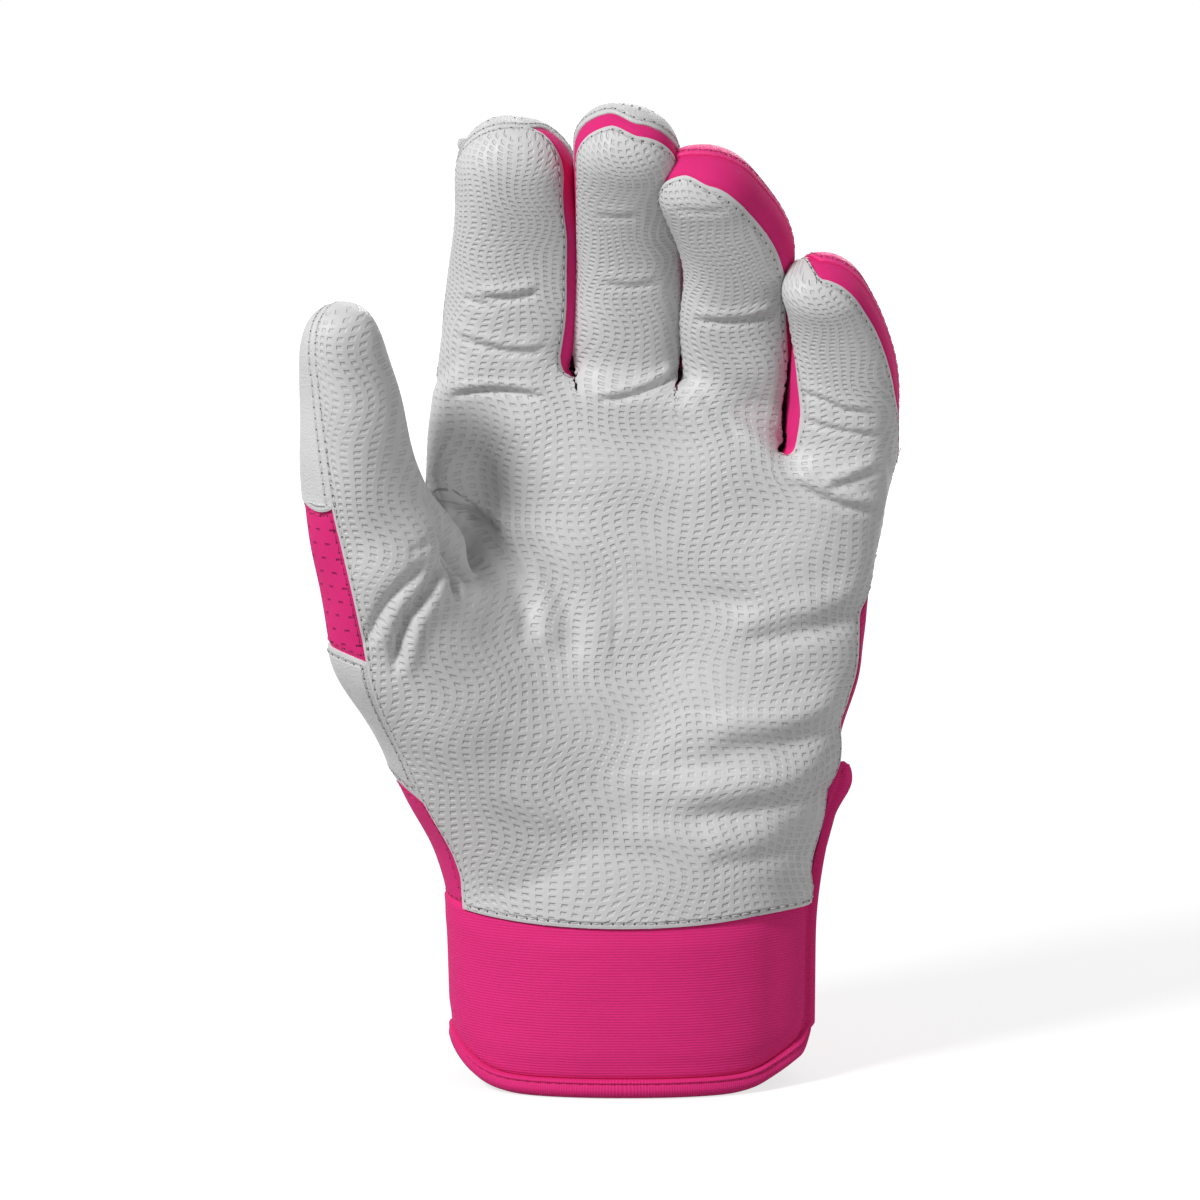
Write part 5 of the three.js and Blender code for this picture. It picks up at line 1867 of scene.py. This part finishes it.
def dress_cuff():
    """The two halves of the cuff, the tape round its rim, and the tape along its slit."""
    for half, spans in CUFF_HALVES.items():
        ready(
            sheet_round_wrist(
                f"cuff_{half}_neoprene", neoprene_finish, spans["neoprene"], cuff_bottom, cuff_top,
                flared(-NEOPRENE), flared(spans["proud"]), CUFF_ROUND, cuff_relief, rows=40),
            "hand", "cuff_" + half)
    for half, spans in CUFF_HALVES.items():
        ready(
            sheet_round_wrist(
                "rim_tape_" + half, tape_finish, spans["rim"], rim_height, tape_top,
                flared(-NEOPRENE - BINDING_PROUD), rim_face, RIM_ROUND, rim_relief, rows=28),
            "hand", "rim_binding_" + half)
    for half, spans in CUFF_HALVES.items():
        ready(
            sheet_round_wrist(
                "slit_tape_" + half, tape_finish, spans["slit"], slit_bottom, slit_top(spans["slit"]),
                *map(flared, SLIT_FACES), SLIT_ROUND, slit_relief(spans["slit"]),
                step=0.2, rows=120, upright=True),
            "hand", "slit_binding_" + half)


def strap_edges(angle):
    """Heights of the strap's lower and upper edge, drawn together at its rounded tip."""
    share = (angle - STRAP["start"]) / (STRAP["end"] - STRAP["start"])
    past = np.clip((share - STRAP_CORNER["start"]) / (1 - STRAP_CORNER["start"]), 0, 1)
    corner = STRAP_CORNER["radius"] * (1 - np.sqrt(1 - STRAP_CORNER["fullness"] * past ** 2))
    falling, rising = (smoothstep(share, 0, STRAP_TAPER[side]) for side in ("bottom", "top"))
    low = STRAP["bottom"] + (STRAP["tip_bottom"] - STRAP["bottom"]) * falling + corner
    high = STRAP["root_top"] + (STRAP["tip_top"] - STRAP["root_top"]) * rising - corner
    return low, high


def strap_line(side, inside):
    """The height of a line that runs a distance inside the strap's lower or upper edge."""
    if side == "lower":
        return lambda angle: strap_edges(angle)[0] + inside
    return lambda angle: strap_edges(angle)[1] - inside


def strap_lift(offset):
    """How far a face of the strap stands off the skin: the strap lifts a little towards its tip."""

    def lifted(angle):
        grown = smoothstep(angle, STRAP_LIFT["start"], STRAP_LIFT["end"])
        return STRAP_LIFT["root"] + (STRAP_LIFT["tip"] - STRAP_LIFT["root"]) * grown + offset

    return lifted


def patch_sheet(name, finish, patch):
    return sheet_round_wrist(
        name, finish, patch["span"], steady(patch["bottom"]), steady(patch["top"]),
        steady(patch["inner"]), steady(patch["outer"]), (patch["round"], patch["round"]))


def dress_strap():
    """The closure strap with its tapes, the patches that hold it, and its pull tab."""
    span = (STRAP["start"], STRAP["end"])
    inside = STRAP_TAPE - STRAP_LAP
    strap = sheet_round_wrist(
        "closure_strap_neoprene", neoprene_finish, span,
        strap_line("lower", inside), strap_line("upper", inside),
        strap_lift(0), strap_lift(STRAP["thickness"]), STRAP_ROUND, rows=40)
    ready(strap, "strap", "closure_strap")
    faces = strap_lift(-STRAP_TAPE_OVER[0]), strap_lift(STRAP["thickness"] + STRAP_TAPE_OVER[1])
    outer, inner = STRAP_TAPE_ROUND["outer"], STRAP_TAPE_ROUND["inner"]
    for side, widths, rounding in (
        ("lower", (0, STRAP_TAPE), (outer, inner)),
        ("upper", (STRAP_TAPE, 0), (inner, outer)),
    ):
        low, high = (strap_line(side, width) for width in widths)
        tape = sheet_round_wrist("strap_tape_" + side, tape_finish, span, low, high, *faces, rounding, rows=6)
        ready(tape, "strap", "strap_binding_" + side)
    ready(patch_sheet("loop_pile_patch", pile_finish, LOOP_PATCH), "hand", "loop_patch")
    ready(patch_sheet("hook_pile_patch", pile_finish, HOOK_PATCH), "strap", "hook_patch")
    ready(patch_sheet("strap_grip_leather", white_finish, PULL_TAB), "strap", "strap_pull_tab")


def rim_row(start, end):
    angles = np.arange(start, end, STITCH_ANGLE)
    return around_wrist(angles, rim_height(angles) + GROOVE_UP, rim_face(angles) - GROOVE_SUNK)


def slit_row(angle, offset):
    heights = np.arange(SLIT_ROW["start"], SLIT_TAPE_TOP - SLIT_ROW["from_top"], SLIT_ROW["step"])
    return around_wrist(np.full(len(heights), angle), heights, offset)


def strap_row(side):
    start, end = STRAP["start"] + STRAP_ROW["from_root"], STRAP["end"] - STRAP_ROW["from_tip"]
    angles = np.arange(start, end, STITCH_ANGLE)
    height = strap_line(side, STRAP_TAPE + STRAP_ROW["inside"])(angles)
    return around_wrist(angles, height, strap_lift(STRAP["thickness"] + STRAP_ROW["over"])(angles))


def sew_cuff():
    """The stitches of the rim's, the slit's and the strap's tapes."""
    palm, back = CUFF_HALVES["palm"]["rim"], CUFF_HALVES["back"]["rim"]
    groove = SLIT_PALM_TAPE[0] + SLIT_ROW["across"] * (SLIT_PALM_TAPE[1] - SLIT_PALM_TAPE[0])
    rows = [
        rim_row(PALM_SEAM + RIM_ROW["from_seam"], palm[1] - RIM_ROW["from_slit"]),
        rim_row(back[0] + RIM_ROW["from_slit"], CUFF_SIDE_SEAM - RIM_ROW["from_seam"]),
        slit_row(groove, flare(groove) + SLIT_ROW["lift"]),
    ]
    sewn("cuff_binding", rows, "hand", "binding_tape", 0.0)
    sewn("strap", [strap_row("lower"), strap_row("upper")], "strap", "neoprene", STRAP_ROW["lift"])


def patch_face(name, patch, offset, outward):
    """The face of a patch that carries its pile."""
    (start, end), inset = patch["span"], PILE_INSET["height"]
    angles = np.linspace(start + PILE_INSET["angle"], end - PILE_INSET["angle"], 24)
    heights = np.linspace(patch["bottom"] + inset, patch["top"] - inset, 10)
    around, up = np.meshgrid(angles, heights, indexing="ij")
    points = wrapped(around.ravel(), up.ravel(), offset)
    index = np.arange(len(points)).reshape(around.shape)
    quads = np.stack([index[:-1, :-1], index[1:, :-1], index[1:, 1:], index[:-1, 1:]], -1).reshape(-1, 4)
    mesh = bpy.data.meshes.new(name)
    mesh.from_pydata((points + SHIFT) / 1000, [], (quads if outward else quads[:, ::-1]).tolist())
    return mesh


def add_piles():
    """The loops on the cuff's patch, and the hooks on the strap's patch."""
    loop_face = patch_face("loop_face", LOOP_PATCH, LOOP_PATCH["outer"], True)
    loops = piles.grown("loop_pile", loop_face, Radius=0.45, Thickness=0.07, Seed=5, Finish=loop_finish)
    ready(loops, "hand", slot="hook_and_loop")
    hook_face = patch_face("hook_face", HOOK_PATCH, HOOK_PATCH["inner"], False)
    hooks = piles.grown("hook_pile", hook_face, Radius=0.35, Thickness=0.08, Seed=9, Finish=loop_finish)
    ready(hooks, "strap", slot="hook_and_loop")


def add_camera():
    """The camera at the photograph's viewing angle."""
    data = bpy.data.cameras.new("camera")
    camera = placed("camera", data)
    bpy.context.scene.camera = camera
    data.sensor_width = SENSOR
    data.lens = SENSOR * CAMERA_DISTANCE / (PHOTO_WIDTH * PIXEL)
    data.clip_end = CAMERA_SEES
    camera.location = in_metres(camera_at)
    camera.rotation_euler = (math.pi / 2 - elevation, 0, 0)


def area_light(name, place, power, size):
    data = bpy.data.lights.new(name, "AREA")
    data.shape = "DISK"
    data.size = size
    data.energy = power
    lamp = placed(name, data)
    lamp.location = place
    lamp.rotation_euler = (Vector(LIGHT_TARGET) - lamp.location).to_track_quat("-Z", "Y").to_euler()


def seen_or_felt(tree, felt, shown, target):
    """One shader for rays from the camera and in gloss or glass, another for the light itself."""
    rays = tree.nodes.new("ShaderNodeLightPath")
    either = rays.outputs["Is Camera Ray"]
    for kind in ("Is Glossy Ray", "Is Transmission Ray"):
        highest = tree.nodes.new("ShaderNodeMath")
        highest.operation = "MAXIMUM"
        tree.links.new(either, highest.inputs[0])
        tree.links.new(rays.outputs[kind], highest.inputs[1])
        either = highest.outputs[0]
    mix = tree.nodes.new("ShaderNodeMixShader")
    tree.links.new(either, mix.inputs[0])
    tree.links.new(felt, mix.inputs[1])
    tree.links.new(shown, mix.inputs[2])
    tree.links.new(mix.outputs[0], target)


def add_world():
    """Soft light from all sides, seen as plain white."""
    world = bpy.data.worlds.new("studio")
    bpy.context.scene.world = world
    world.use_nodes = True
    tree = world.node_tree
    light = tree.nodes["Background"]
    light.inputs["Color"].default_value = (1, 1, 1, 1)
    light.inputs["Strength"].default_value = WORLD_LIGHT
    shown = tree.nodes.new("ShaderNodeBackground")
    shown.inputs["Color"].default_value = (1, 1, 1, 1)
    seen_or_felt(tree, light.outputs[0], shown.outputs[0], tree.nodes["World Output"].inputs[0])


def floor_paint():
    """A pale matt floor that keeps the shadow near the glove, and turns white further away."""
    paint = bpy.data.materials.new("pale_floor")
    paint.use_nodes = True
    tree = paint.node_tree
    matt = tree.nodes["Principled BSDF"]
    matt.inputs["Base Color"].default_value = FLOOR_GREY
    matt.inputs["Roughness"].default_value = 0.9
    pale = tree.nodes.new("ShaderNodeBsdfDiffuse")
    pale.inputs["Color"].default_value = FLOOR_GREY
    glow = tree.nodes.new("ShaderNodeEmission")
    place = tree.nodes.new("ShaderNodeTexCoord")
    away = tree.nodes.new("ShaderNodeVectorMath")
    away.operation = "LENGTH"
    tree.links.new(place.outputs["Object"], away.inputs[0])
    fade = tree.nodes.new("ShaderNodeMapRange")
    fade.interpolation_type = "SMOOTHSTEP"
    for socket, number in zip(list(fade.inputs)[1:5], FLOOR_GLOW):
        socket.default_value = number
    tree.links.new(away.outputs["Value"], fade.inputs[0])
    tree.links.new(fade.outputs[0], glow.inputs["Strength"])
    both = tree.nodes.new("ShaderNodeAddShader")
    tree.links.new(pale.outputs[0], both.inputs[0])
    tree.links.new(glow.outputs[0], both.inputs[1])
    seen_or_felt(tree, matt.outputs[0], both.outputs[0], tree.nodes["Material Output"].inputs[0])
    return paint


def add_floor():
    mesh = bpy.data.meshes.new("floor")
    corners = [(x * FLOOR_REACH, y * FLOOR_REACH, 0) for x, y in ((-1, -1), (1, -1), (1, 1), (-1, 1))]
    mesh.from_pydata(corners, [], [(0, 1, 2, 3)])
    floor = placed("floor", mesh)
    mesh.materials.append(floor_paint())


dress_hand()
for name in DIGIT_NAMES:
    dress_digit(name)
ready(seam_tab("index", s=47, length=3.4, width=3.0, thickness=0.9), bend_of("index"))
dress_cuff()
dress_strap()
sew_cuff()
add_piles()

add_camera()
for name, (place, power, size) in LIGHTS.items():
    area_light(name, place, power, size)
add_world()
add_floor()
bpy.context.scene.view_settings.view_transform = "Standard"
